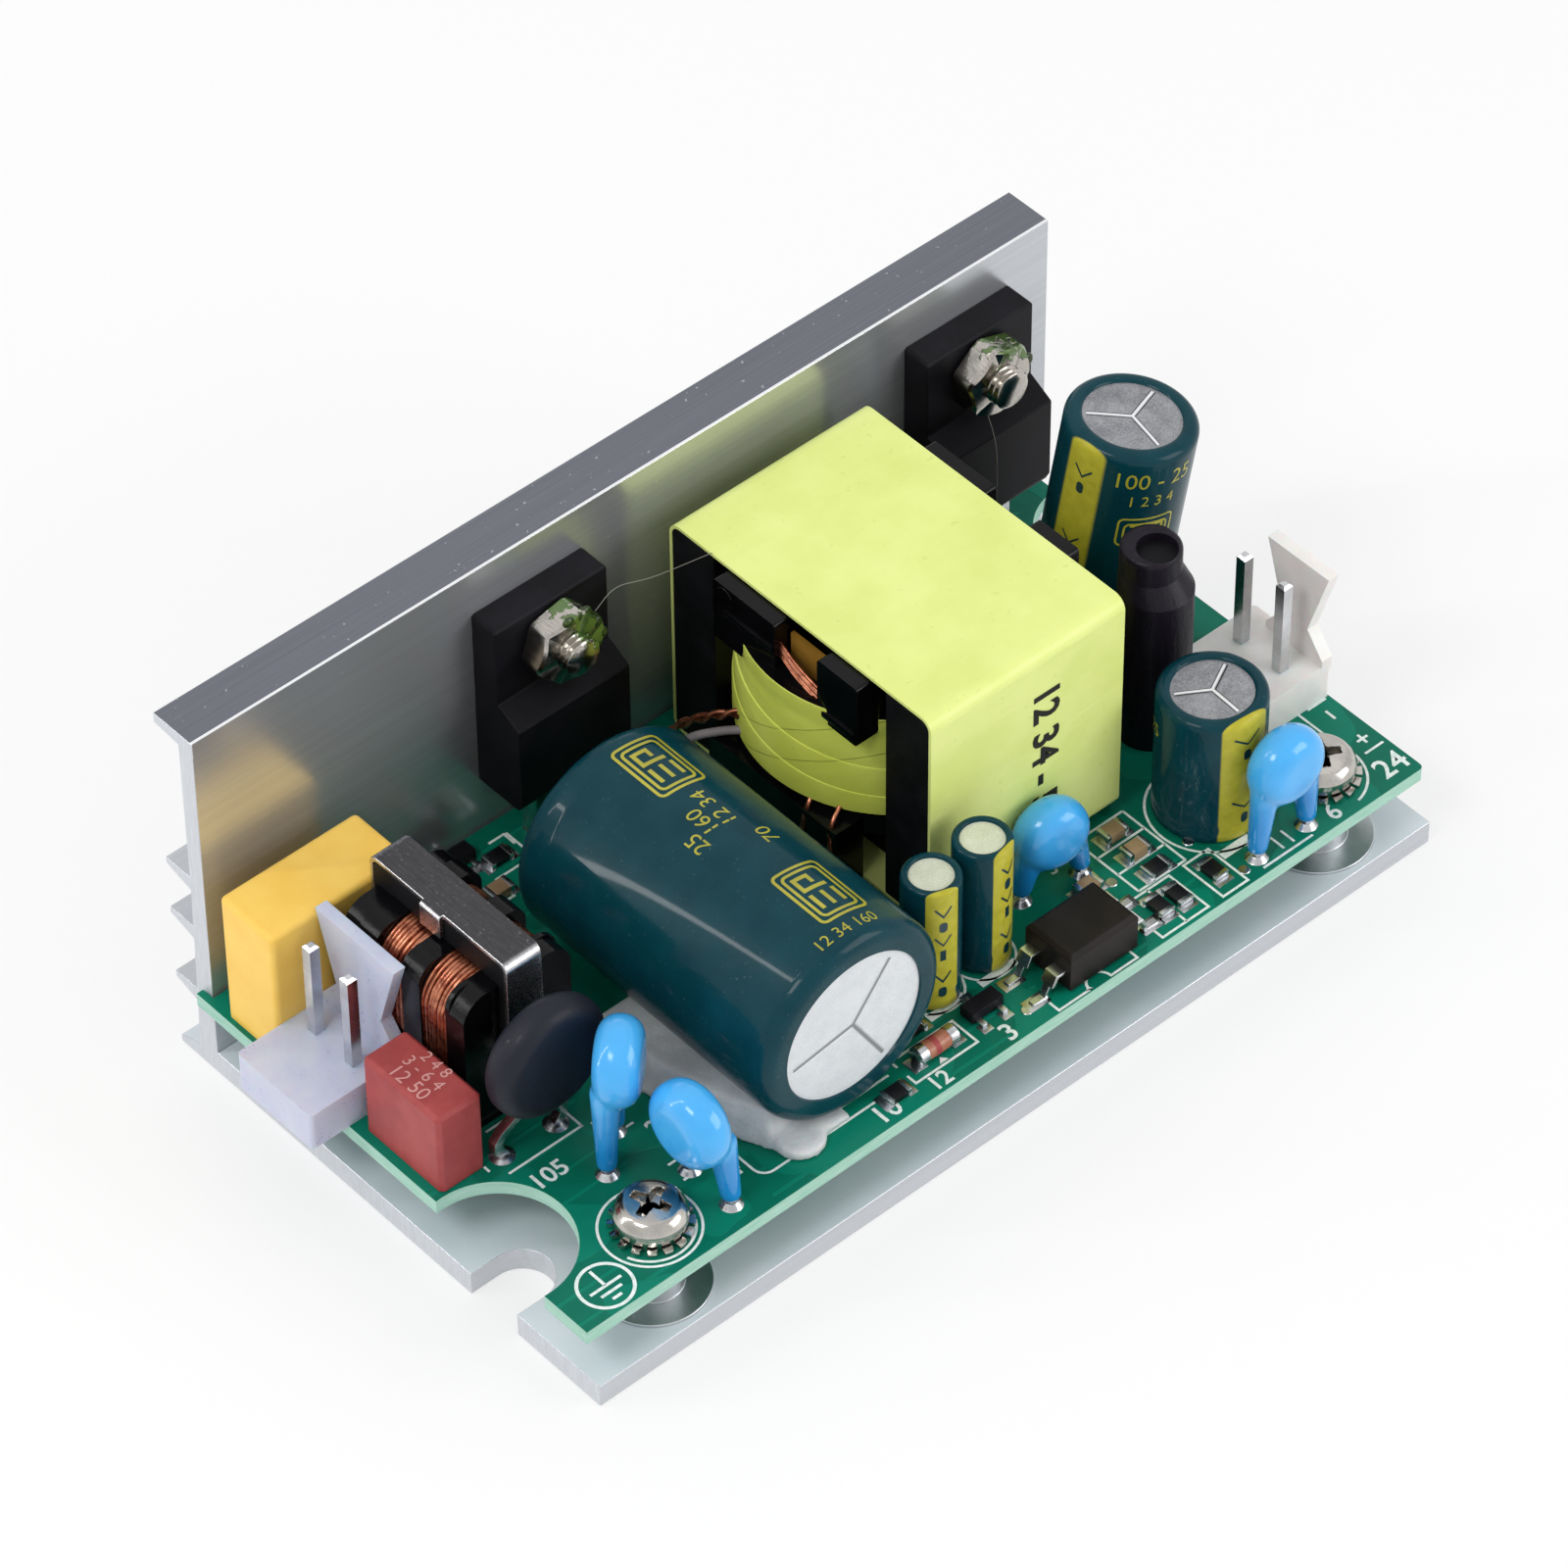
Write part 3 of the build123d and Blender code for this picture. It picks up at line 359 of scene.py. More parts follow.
def tape_finish(name, dark, light, seams=()):
    """Polyester tape: faint wrinkles and small trapped specks, with the edge of a turn where it ends."""
    f = Finish(name, "tape", light, 0.34, coat_roughness=0.12, specular_ior_level=0.25)
    _, y, z = f.split(f.place())
    cloud = f.noise(0.22)
    wrinkle = f.noise((0.25, 0.9, 0.9), 2.0, warp=0.6)
    specks = f.step(f.noise(1.7, 1.0), 0.72, 0.75)
    layer = 0.0
    for slope, rest in seams:
        layer = layer + f.step(y * slope + z - rest, -0.05, 0.05)
    colour = f.blend(f.step(cloud, 0.25, 0.75), dark, light)
    colour = f.blend(specks * 0.12, colour, "8f9a2c")
    f.wear(colour=colour, rough=0.34 + 0.12 * wrinkle, coat=0.12 + 0.12 * cloud)
    f.bump(wrinkle + cloud + 0.8 * layer, 0.05)
    return f


def lacquer(name, slot, dark, light, rough, coat, pits=0.02):
    """Dipped coating: smooth, darker towards the bottom, with a slight orange peel."""
    f = Finish(name, slot, light, rough, coat_roughness=0.06)
    cloud = f.noise(0.45, 2.0)
    peel = f.noise(1.6, 2.0)
    # The colour is darker towards the bottom, near the board.
    height_tone = f.step(f.split(f.place())[2], 9.0, 17.0)
    f.wear(
        colour=f.blend(f.step(cloud * 0.5 + height_tone * 0.5, 0.2, 0.8), dark, light),
        rough=rough + 0.1 * peel,
        coat=coat * (0.8 + 0.4 * cloud),
    )
    f.bump(peel, pits)
    return f


def sleeve(name, matrix, radius, stripe=0.0, half_width=0.0):
    """Printed shrink sleeve: dark teal, with a polarity stripe in olive gold if it has one."""
    f = Finish(name, "teal_sleeve", "0c3340", 0.2, coat_roughness=0.05, specular_ior_level=0.08)
    a, b, _ = f.round_frame(matrix)
    cloud = f.noise(0.4)
    dust = f.step(f.noise(4.5, 2.0, 0.6), 0.69, 0.73)
    colour = f.blend(cloud, "06303a", "0a424c")
    if half_width:
        across = (a * cos(radians(stripe)) + b * sin(radians(stripe))) / radius
        limit = cos(radians(half_width))
        band = f.step(across, limit - 0.012, limit + 0.012)
        colour = f.blend(band, colour, f.blend(f.noise(1.2, 2.0), "a29b2c", "cbc243"))
    f.wear(colour=f.blend(dust * 0.12, colour, "9fb4b8"), rough=0.2 + 0.1 * cloud, coat=0.14 + 0.06 * cloud)
    f.bump(f.noise(0.5, 2.0) + 0.2 * cloud, 0.03)
    return f


def can_end(name, matrix, arms, reach, dark, light, line, painted_groove_rim, shine):
    """Drawn aluminium can: a grained end with the thin grooves of its vent, painted light and shade along
    each groove, and a plain side.
    """
    f = Finish(name, "can", light, 0.35, metal=shine)
    a, b, _ = f.round_frame(matrix)
    gap = f.nearest_arm(a, b, arms, reach)
    cloud = f.noise(0.7, 4.0, 0.6)
    grain = f.noise(7.0, 3.0, 0.7)
    tone = f.blend(f.step(cloud * 0.4 + grain * 0.6, 0.3, 0.7), dark, light)
    # Painted light and shade along each vent groove: one tone in a band round the groove and another down its
    # middle, from the colours passed in.
    tone = f.blend((gap < 0.21) & (gap > 0.12), tone, painted_groove_rim)
    tone = f.blend(gap < 0.12, tone, line)
    f.wear(colour=tone, rough=0.34 + 0.2 * grain)
    f.bump(grain * 0.3 + cloud * 0.3 + f.step(gap, 0.04, 0.28) * 2.0, 0.06)
    return f


def see_through(name, slot, dark, light, rough, scale, change, depth, clear, density):
    """Clear stuff, uneven in tone, gloss and thickness by one soft cloud."""
    f = Finish(name, slot, light, rough, transmission_weight=clear, ior=density)
    cloud = f.noise(scale, 2.0)
    f.wear(colour=f.blend(cloud, dark, light), rough=rough + change * cloud)
    f.bump(cloud, depth)
    return f


def heat_shrink():
    """Shrink tube drawn tight over the winding, with soft vertical puckers."""
    f = Finish("heat shrink", "shrink", "17141b", 0.4, coat_roughness=0.25, specular_ior_level=0.12)
    pucker = f.noise((1.4, 1.4, 0.25), 3.0, 0.6, warp=0.4)
    fine = f.noise(5.0, 3.0, 0.6)
    f.wear(colour=f.blend(pucker, "100d14", "221d28"), rough=0.34 + 0.2 * fine, coat=0.1 + 0.1 * pucker)
    f.bump(pucker + 0.3 * fine, 0.12)
    return f


def silicone():
    """Cured silicone: milky and lumpy."""
    f = Finish("silicone", "silicone", "cfd3d3", 0.42, subsurface_weight=0.2, subsurface_scale=0.0008)
    lump = f.noise(0.8)
    f.wear(colour=f.blend(lump, "bcc1c2", "e0e3e4"), rough=0.35 + 0.2 * lump)
    f.bump(lump + 0.3 * f.noise(4.0, 2.0), 0.12)
    return f


def lacquered_nickel():
    """Plated fixings with green locking lacquer run over their upper side, in front of the wall."""
    f = Finish("lacquered nickel", "steel", "c9c5be", 0.16, metal=1.0, coat_roughness=0.05)
    x, y, z = f.split(f.place())
    scores = f.noise((9.0, 0.8, 9.0), 3.0, 0.6)
    spread = f.noise(0.5, 3.0, 0.6, warp=0.8)
    first_x = CLAMP_SCREWS[0][0]
    spacing = CLAMP_SCREWS[1][0] - first_x
    upper_side = (z - (CLAMP_Z + 1.2)) + (x % spacing - (first_x + 1.2))
    run = f.step(spread + 0.07 * upper_side, 0.5, 0.54) * (y < WALL_Y - 0.1)
    f.wear(
        colour=f.blend(run, f.blend(scores, "8d8780", "d8d3cb"), f.blend(spread, "26471d", "6f8d48")),
        rough=0.14 + 0.1 * scores,
        coat=run,
        metal=1.0 - 0.45 * run,
    )
    f.bump(run * 2.0 + spread, 0.03)
    return f


drawn = aluminium()
lacquered = lacquered_nickel()
mask = solder_mask()
white_ink = ink()
nickel = plated("nickel plated steel", "steel", "a29e98", "dad6cf", 0.14)
satin_steel = plated("satin steel", "steel", "b3b7bb", "dfe2e4", 0.34)
spring_steel = clip_steel()
tinned = plated("tinned pins", "tinned", "aaabae", "e6e7e9")
solder = plated("solder", "solder", "a2a4a8", "dfe1e3", 0.2, 2.5)
copper = copper_wire()
ferrite = moulding("ferrite", "ferrite", "09090b", "18181b", 0.45, 3.0, 0.03, specular_ior_level=0.12)
black_plastic = moulding(
    "black bobbin", "black_plastic", "040405", "0c0c0f", 0.15, 1.0, 0.012, specular_ior_level=0.18
)
packaging = moulding("black package", "package", "0d0c10", "1a191f", 0.5, 3.5, 0.02, specular_ior_level=0.14)
brown_package = moulding(
    "dark coupler body", "package", "120e0e", "231c1a", 0.42, 4.0, 0.02, specular_ior_level=0.16
)
milky_nylon = moulding(
    "milky nylon", "nylon", "d2d8f2", "e4e9f9", 0.3, 1.0,
    subsurface_weight=0.3, subsurface_scale=0.002, transmission_weight=0.25,
)
white_nylon = moulding(
    "white nylon", "nylon", "e8e6e3", "f4f2ef", 0.36, 1.0, subsurface_weight=0.3, subsurface_scale=0.001
)
yellow_case = moulding("yellow case", "film_case", "f4c556", "f9d067", 0.42, 2.0, 0.015)
red_case = moulding("red case", "fuse_case", "96393a", "ad4d4c", 0.45, 2.0, 0.02)
core_tape = tape_finish("yellow core tape", "dae683", "e4ee93")
drum_tape = tape_finish("yellow drum tape", "ced957", "dee96b", ((0.55, 33.6), (0.5, 29.6)))
amber_tape = tape_finish("amber tape", "70501a", "9c742c")
navy_dip = lacquer("navy lacquer", "navy_lacquer", "0b0d15", "151824", 0.5, 0.05, 0.03)
blue_dip = lacquer("blue lacquer", "blue_lacquer", "1b86cf", "48aef0", 0.16, 0.5)
lock_green = see_through("locking lacquer", "steel", "2c4b24", "6c8246", 0.08, 1.1, 0.1, 0.08, 0.7, 1.45)
diode_glass = see_through("diode glass", "glass", "c4623f", "e8a88c", 0.06, 1.2, 0.06, 0.01, 0.4, 1.5)
shrink = heat_shrink()
bead = silicone()
rubber = moulding("rubber bung", "rubber", "0e0e0e", "1c1c1c", 0.6, 2.0, 0.02, specular_ior_level=0.15)
grey_sleeve = moulding("grey lead sleeve", "shrink", "6f6a6c", "938d8e", 0.4, 2.0, 0.02)
set_lacquer = moulding("set lacquer thread", "steel", "6f6d66", "938f86", 0.3)
chip_black = moulding("chip resistor face", "chip", "0c0c0f", "17171b", 0.35, 3.0)
chip_tan = moulding("chip capacitor body", "chip", "8d7457", "b69a76", 0.42, 3.0)
gold_print = moulding("olive gold print", "teal_sleeve", "9c962c", "bab23c", 0.3, 2.0, 0.004, coat_weight=0.3)
dark_print = moulding("dark print", "teal_sleeve", "0b2c36", "103a44", 0.3, 2.0, 0.004, coat_weight=0.3)
mark_ink = moulding("black mark ink", "tape", "16160f", "22211a", 0.5, 3.0, 0.004)
case_ink = moulding("pale case ink", "fuse_case", "c98a86", "dba5a0", 0.5, 3.0, 0.004)


# Shapes


def frame_at(x, y, z, angle=0.0, axis="Z"):
    """A frame at a spot, turned by an angle in degrees about one axis."""
    return Matrix.Translation((x, y, z)) @ Matrix.Rotation(radians(angle), 4, axis)


class Shape:
    """A mesh being built in millimetres. Every method adds to it; piece() finishes it."""

    def __init__(self):
        self.bm = bmesh.new()

    def corners(self, points):
        return [self.bm.verts.new(p) for p in points]

    def rings(self, rings, closed_round=True, caps=True, looped=False):
        """Skin a row of rings of points, each with as many points."""
        rows = [self.corners(ring) for ring in rings]
        pairs = list(zip(rows, rows[1:])) + ([(rows[-1], rows[0])] if looped else [])
        for low, high in pairs:
            count = len(low)
            for i in range(count if closed_round else count - 1):
                j = (i + 1) % count
                self.bm.faces.new((low[i], low[j], high[j], high[i]))
        if caps and closed_round and not looped:
            self.bm.faces.new(rows[0][::-1])
            self.bm.faces.new(rows[-1])
        return self

    def tube(self, path, radius, sides=8):
        """A round wire along a path."""
        path = [Vector(p) for p in path]
        turns = [tau * k / sides for k in range(sides)]
        normal = (path[1] - path[0]).normalized().orthogonal().normalized()
        rings = []
        for before, point, after in zip([path[0], *path], path, [*path[1:], path[-1]]):
            tangent = (after - before).normalized()
            normal = (normal - tangent * normal.dot(tangent)).normalized()
            other = tangent.cross(normal)
            rings.append([point + (normal * cos(t) + other * sin(t)) * radius for t in turns])
        return self.rings(rings)

    def lathe(self, profile, place, sides=48, caps=True):
        """Turn (radius, height) points about the third axis of a frame.

        A height is a number, or a function of radius and turn where the face has a relief.
        """
        rings = []
        for radius, height in profile:
            r = max(radius, LEAST_R)
            ring = []
            for k in range(sides):
                turn = tau * k / sides
                rise = height(r, turn) if callable(height) else height
                ring.append(place @ Vector((r * cos(turn), r * sin(turn), rise)))
            rings.append(ring)
        return self.rings(rings, caps=caps)

    def slab(self, x0, x1, y0, y1, z0, z1, edge=0.0, place=Matrix.Identity(4)):
        """A block between two limits on each axis of a frame, with its edges rounded if asked."""
        made = []
        for z in (z0, z1):
            for x, y in ((x0, y0), (x1, y0), (x1, y1), (x0, y1)):
                made.append(self.bm.verts.new(place @ Vector((x, y, z))))
        quads = ((3, 2, 1, 0), (4, 5, 6, 7), (0, 1, 5, 4), (1, 2, 6, 5), (2, 3, 7, 6), (3, 0, 4, 7))
        faces = [self.bm.faces.new([made[i] for i in quad]) for quad in quads]
        if edge:
            edges = list({e for face in faces for e in face.edges})
            bmesh.ops.bevel(self.bm, geom=edges, offset=edge, segments=2, profile=0.6, affect="EDGES")
        return self

    def stroke(self, path, width, looped=False, lay=None):
        """A printed line with mitred corners, flat on the board or bent onto a surface by lay."""
        path = [Vector(p[:2]) for p in path]
        count = len(path)
        steps = [(b - a).normalized() for a, b in zip(path, path[1:] + path[:1])]
        left, right = [], []
        for i, point in enumerate(path):
            into = steps[i - 1] if i or looped else steps[0]
            out = steps[i] if i + 1 < count or looped else into
            mean = (into + out).normalized() if (into + out).length > 1e-6 else into
            side = Vector((-mean.y, mean.x)) * (width / 2 / max(0.35, mean.dot(into)))
            left.append(point + side)
            right.append(point - side)
        lay = lay or flat_at(0.0, 0.0)
        a = self.corners([lay(*p) for p in left])
        b = self.corners([lay(*p) for p in right])
        for i in range(count if looped else count - 1):
            j = (i + 1) % count
            self.bm.faces.new((b[i], b[j], a[j], a[i]))
        return self

    def patch(self, path, lay=None):
        """One printed face inside a path."""
        lay = lay or flat_at(0.0, 0.0)
        self.bm.faces.new(self.corners([lay(*p[:2]) for p in path]))
        return self

    def words(self, text, size, lay, weight=0.0):
        """Plain numbers and signs, laid on a surface by a function of two distances."""
        curve = bpy.data.curves.new("marks", "FONT")
        curve.body = text
        curve.size = size
        curve.resolution_u = 3
        curve.offset = weight
        curve.align_x = "CENTER"
        curve.align_y = "CENTER"
        holder = bpy.data.objects.new("marks", curve)
        mesh = bpy.data.meshes.new_from_object(holder)
        start = len(self.bm.verts)
        self.bm.from_mesh(mesh)
        self.bm.verts.ensure_lookup_table()
        for vert in self.bm.verts[start:]:
            vert.co = lay(vert.co.x, vert.co.y)
        bpy.data.objects.remove(holder)
        bpy.data.curves.remove(curve)
        bpy.data.meshes.remove(mesh)
        return self

    def piece(self, name, finish, stands_for=(), corner=35):
        """Put the mesh into the scene under that name, in place of any nodes that it stands for."""
        bmesh.ops.recalc_face_normals(self.bm, faces=self.bm.faces)
        self.bm.transform(TO_FRAME)
        mesh = bpy.data.meshes.new(name)
        self.bm.to_mesh(mesh)
        self.bm.free()
        mesh.shade_smooth()
        mesh.set_sharp_from_angle(angle=radians(corner))
        mesh.materials.append(finish.material)
        made = bpy.data.objects.new(name, mesh)
        bpy.context.collection.objects.link(made)
        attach(made, "root")
        if stands_for:
            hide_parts(*stands_for)
        return made


def arc(x, y, r, start, end, steps=24):
    """Points on a circle between two angles in degrees."""
    turns = [radians(start + (end - start) * i / steps) for i in range(steps + 1)]
    return [(x + r * cos(t), y + r * sin(t)) for t in turns]


def rounded(x0, x1, y0, y1, r, steps=6):
    """Points round a rectangle with round corners."""
    spots = ((x1 - r, y1 - r, 0), (x0 + r, y1 - r, 90), (x0 + r, y0 + r, 180), (x1 - r, y0 + r, 270))
    return [p for x, y, a in spots for p in arc(x, y, r, a, a + 90, steps)]


def smooth_path(points, steps=8):
    """Points on a smooth curve through the given ones."""
    points = [Vector(p) for p in points]
    full = [points[0] * 2 - points[1], *points, points[-1] * 2 - points[-2]]
    path = []
    for a, b, c, d in zip(full, full[1:], full[2:], full[3:]):
        for i in range(steps):
            t = i / steps
            bend = (2 * a - 5 * b + 4 * c - d) * t**2 + (3 * b - a - 3 * c + d) * t**3
            path.append(0.5 * (2 * b + (c - a) * t + bend))
    return [*path, points[-1]]


def flat_at(x, y, turn=0.0, z=INK_Z):
    """Lay two distances flat on the board about a spot, turned by an angle in degrees."""
    c, s = cos(radians(turn)), sin(radians(turn))
    return lambda u, v: Vector((x + u * c - v * s, y + u * s + v * c, z))


def wrapped(matrix, radius, angle, height, turn=0.0):
    """Lay two distances on a round body about a spot at an angle in degrees and a height."""
    c, s = cos(radians(turn)), sin(radians(turn))

    def lay(u, v):
        across, up = u * c - v * s, u * s + v * c
        spot = radians(angle) + across / radius
        return matrix @ Vector((radius * cos(spot), radius * sin(spot), height + up))

    return lay


def dense(path, step, looped=False):
    """The same path with points added, so that it can bend round a surface."""
    path = [Vector(p[:2]) for p in path]
    ends = path[1:] + path[:1] if looped else path[1:]
    made = []
    for a, b in zip(path, ends):
        count = max(1, ceil((b - a).length / step))
        made += [a.lerp(b, i / count) for i in range(count)]
    return made if looped else [*made, path[-1]]


def smooth_skin(node):
    """Close the seams of a node's mesh and let its shading run on round its edges."""
    if "custom_normal" in node.data.attributes:
        node.data.attributes.remove(node.data.attributes["custom_normal"])
    node.data.shade_smooth()
    node.modifiers.new("weld", "WELD").merge_threshold = 2e-6


def dress(name, finish, edge=0.0, segments=2):
    """Give a node of the model its finish and, if asked, softly rounded edges."""
    node = nodes[name]
    if not node.material_slots:
        node.data.materials.append(finish.material)
    for place in node.material_slots:
        place.material = finish.material
    if edge:
        smooth_skin(node)
        flatten = node.modifiers.new("flatten", "DECIMATE")
        flatten.decimate_type = "DISSOLVE"
        flatten.angle_limit = radians(1.0)
        bevel = node.modifiers.new("edges", "BEVEL")
        bevel.width = edge * MM
        bevel.segments = segments
        bevel.limit_method = "ANGLE"
        bevel.angle_limit = radians(30.0)
        bevel.harden_normals = True
        node.modifiers.new("normals", "WEIGHTED_NORMAL").keep_sharp = True
    return node


def run_together(piece, voxel, rounds):
    """Join the solids of a piece under one soft skin, as a dipped or poured coat does."""
    remesh = piece.modifiers.new("run together", "REMESH")
    remesh.mode = "VOXEL"
    remesh.voxel_size = voxel * MM
    remesh.use_smooth_shade = True
    soften = piece.modifiers.new("soften", "SMOOTH")
    soften.factor = 0.5
    soften.iterations = rounds


# Carried-over nodes and their finishes

for name, finish, edge in (
    ("heat_sink", drawn, 0.24), ("board_standoffs", satin_steel, 0.1), ("solder_joints", solder, 0.0),
    ("thermistor_leads", tinned, 0.2), ("optocoupler_leads", tinned, 0.05),
    ("mains_connector", milky_nylon, 0.12), ("output_connector", white_nylon, 0.12),
    ("box_capacitor", yellow_case, 0.0), ("fuse", red_case, 0.1), ("thermistor", navy_dip, 0.0),
    ("choke_core", ferrite, 0.15), ("choke_bobbin", black_plastic, 0.15), ("choke_clip", spring_steel, 0.1),
    ("bulk_bung", rubber, 0.1), ("optocoupler", brown_package, 0.08),
    ("switch_transistor", packaging, 0.1), ("output_rectifier", packaging, 0.1),
    ("small_transistors", packaging, 0.05), ("bridge_rectifier", packaging, 0.1),
    ("controller_chip", packaging, 0.1), ("transformer_core", ferrite, 0.3),
    ("transformer_bobbin", black_plastic, 0.15), ("transformer_tape", core_tape, 0.0),
    ("inductor_core", ferrite, 0.0), ("inductor_winding", copper, 0.0), ("inductor_sleeve", shrink, 0.0),
):
    dress(name, finish, edge)
for name in (
    "mains_connector_pins", "output_connector_pins", "box_capacitor_leads", "fuse_leads", "choke_pins",
    "blue_capacitor_leads", "bulk_leads", "switch_transistor_leads", "output_rectifier_leads",
    "transformer_pins", "output_capacitor_leads", "supply_capacitor_leads", "inductor_leads",
):
    dress(name, tinned)
for name, finish, voxel, rounds in (
    ("blue_capacitors", blue_dip, 0.12, 45), ("silicone_bead", bead, 0.22, 10),
):
    coat = dress(name, finish)
    smooth_skin(coat)
    run_together(coat, voxel, rounds)
dress("circuit_board", mask, 0.04, 1)


# Capacitors


class Upright:
    """An upright capacitor. Its frame has the foot at zero and the middle line on the third axis."""

    def __init__(self, name, x, y, diameter, height, stripe, half_width, lean=0.0):
        self.name = name
        self.r = diameter / 2
        self.height = height
        self.stripe = stripe
        self.half_width = half_width
        seat = frame_at(x, y, BOARD_TOP + self.r * sin(radians(lean)), -25.0)
        self.frame = seat @ Matrix.Rotation(radians(lean), 4, "Y")

    def lay(self, angle, height, turn=0.0):
        """Lay two distances on the sleeve about a spot."""
        return wrapped(self.frame, self.r + PRINT_LIFT, angle, height, turn)

    def build(self, end, sleeves=(), cans=()):
        """Make the can and its sleeve, turned in over the shoulder and waisted over the crimp."""
        r, height = self.r, self.height
        soft = 0.16 * r
        turns = [t * pi / 12 for t in range(7)]
        shoulder = [(r - soft + soft * sin(t), height - soft + soft * cos(t)) for t in turns]
        waist = [(r, height - 1.2), (r, 1.9), (r - 0.05, 1.5), (r - 0.05, 1.2), (r, 0.8), (r, 0.25)]
        profile = [(0.74 * r, height - 0.24), (0.76 * r, height - 0.05), (0.8 * r, height), *shoulder, *waist]
        profile += [(r - 0.2, 0.02), (0.7 * r, 0.0), (0.7 * r, 0.06)]
        skin = sleeve(self.name + " sleeve", self.frame, r, self.stripe, self.half_width)
        Shape().lathe(profile, self.frame, 72).piece(self.name + "_sleeve", skin, sleeves, corner=50)
        top = height - 0.2
        body = [(0.0, top), (0.5 * r, top), (0.78 * r, top - 0.04), (0.86 * r, top - 0.4), (0.86 * r, 0.55)]
        Shape().lathe([*body, (0.0, 0.5)], self.frame).piece(self.name + "_can", end, cans, corner=40)


tall = Upright("tall", 69.5, 26.4, 9.7, 19.6, -149.0, 18.5, 8.0)
short = Upright("short", 63.4, 7.9, 8.0, 11.6, -70.0, 29.0)
first_small = Upright("first_small", 37.0, 7.9, 4.3, 11.6, -84.0, 34.0)
second_small = Upright("second_small", 41.9, 8.1, 4.3, 11.6, -53.0, 34.0)
bulk_frame = frame_at(25.6, 3.0, 16.35, -90.0, "X")

# In each tuple the third and fourth colours are painted light and shade for the vent grooves: on the grey
# ends a bright middle with a shaded band round it, on the bulk capacitor's end a shaded middle with a bright
# band round it.
grey_end = ("77787d", "b2b3b7", "f2f2f4", "5c5c60", 0.6)
bright_end = ("d2d6da", "e4e7ea", "8d8f92", "dde0e2", 0.25)
tall_end = can_end("tall can end", tall.frame, (45.0, 165.0, -75.0), 3.3, *grey_end)
short_end = can_end("short can end", short.frame, (52.0, 172.0, -68.0), 2.7, *grey_end)
pale_end = can_end("small can end", first_small.frame, (), 0.0, "c3c8b2", "dcdfcf", "ffffff", "ffffff", 0.1)
tall.build(tall_end, ["output_capacitor_sleeves"], ["output_capacitor_cans"])
short.build(short_end)
first_small.build(pale_end, ["supply_capacitor_sleeves"], ["supply_capacitor_cans"])
second_small.build(pale_end)


def bulk_skin():
    """The lying capacitor's sleeve: lips turned in at both ends and a shallow waist over the crimp."""
    lip = 1.2
    ends = []
    for t in range(9):
        turn = t * pi / 16
        ends.append((BULK_R - lip + lip * sin(turn), lip - lip * cos(turn)))
    profile = [(6.0, 0.2), (6.05, 0.03), *ends, (BULK_R, 22.6), (8.04, 23.3), (8.04, 23.7), (BULK_R, 24.4)]
    profile += [(r, BULK_LENGTH - h) for r, h in ends[::-1]] + [(6.05, 25.97), (6.0, 25.8)]
    skin = Shape().lathe(profile, bulk_frame, 128, caps=False)
    skin.piece("bulk_sleeve_skin", sleeve("bulk sleeve", bulk_frame, BULK_R), ["bulk_sleeve"], corner=50)


bulk_skin()
dress("bulk_can", can_end("bulk can end", bulk_frame, (-52.0, 172.0, 60.0), 5.4, *bright_end))


def boxed_mark(printed, lay, width, height, line=0.16):
    """A framed mark: a double rounded frame round three bars and a bent bar."""
    for inset in (0.0, 0.46):
        across, up = width / 2 - inset, height / 2 - inset
        outline = dense(rounded(-across, across, -up, up, 0.4, 4), 0.4, True)
        printed.stroke(outline, line, looped=True, lay=lay)
    bars = [[(-0.3, share), (-0.02, share)] for share in (-0.24, 0.0, 0.24)]
    bars.append([(0.08, -0.24), (0.08, 0.24), (0.3, 0.24), (0.3, -0.05), (0.16, -0.05)])
    for bar in bars:
        printed.stroke(dense([(u * width, v * height) for u, v in bar], 0.4), line * 1.4, lay=lay)


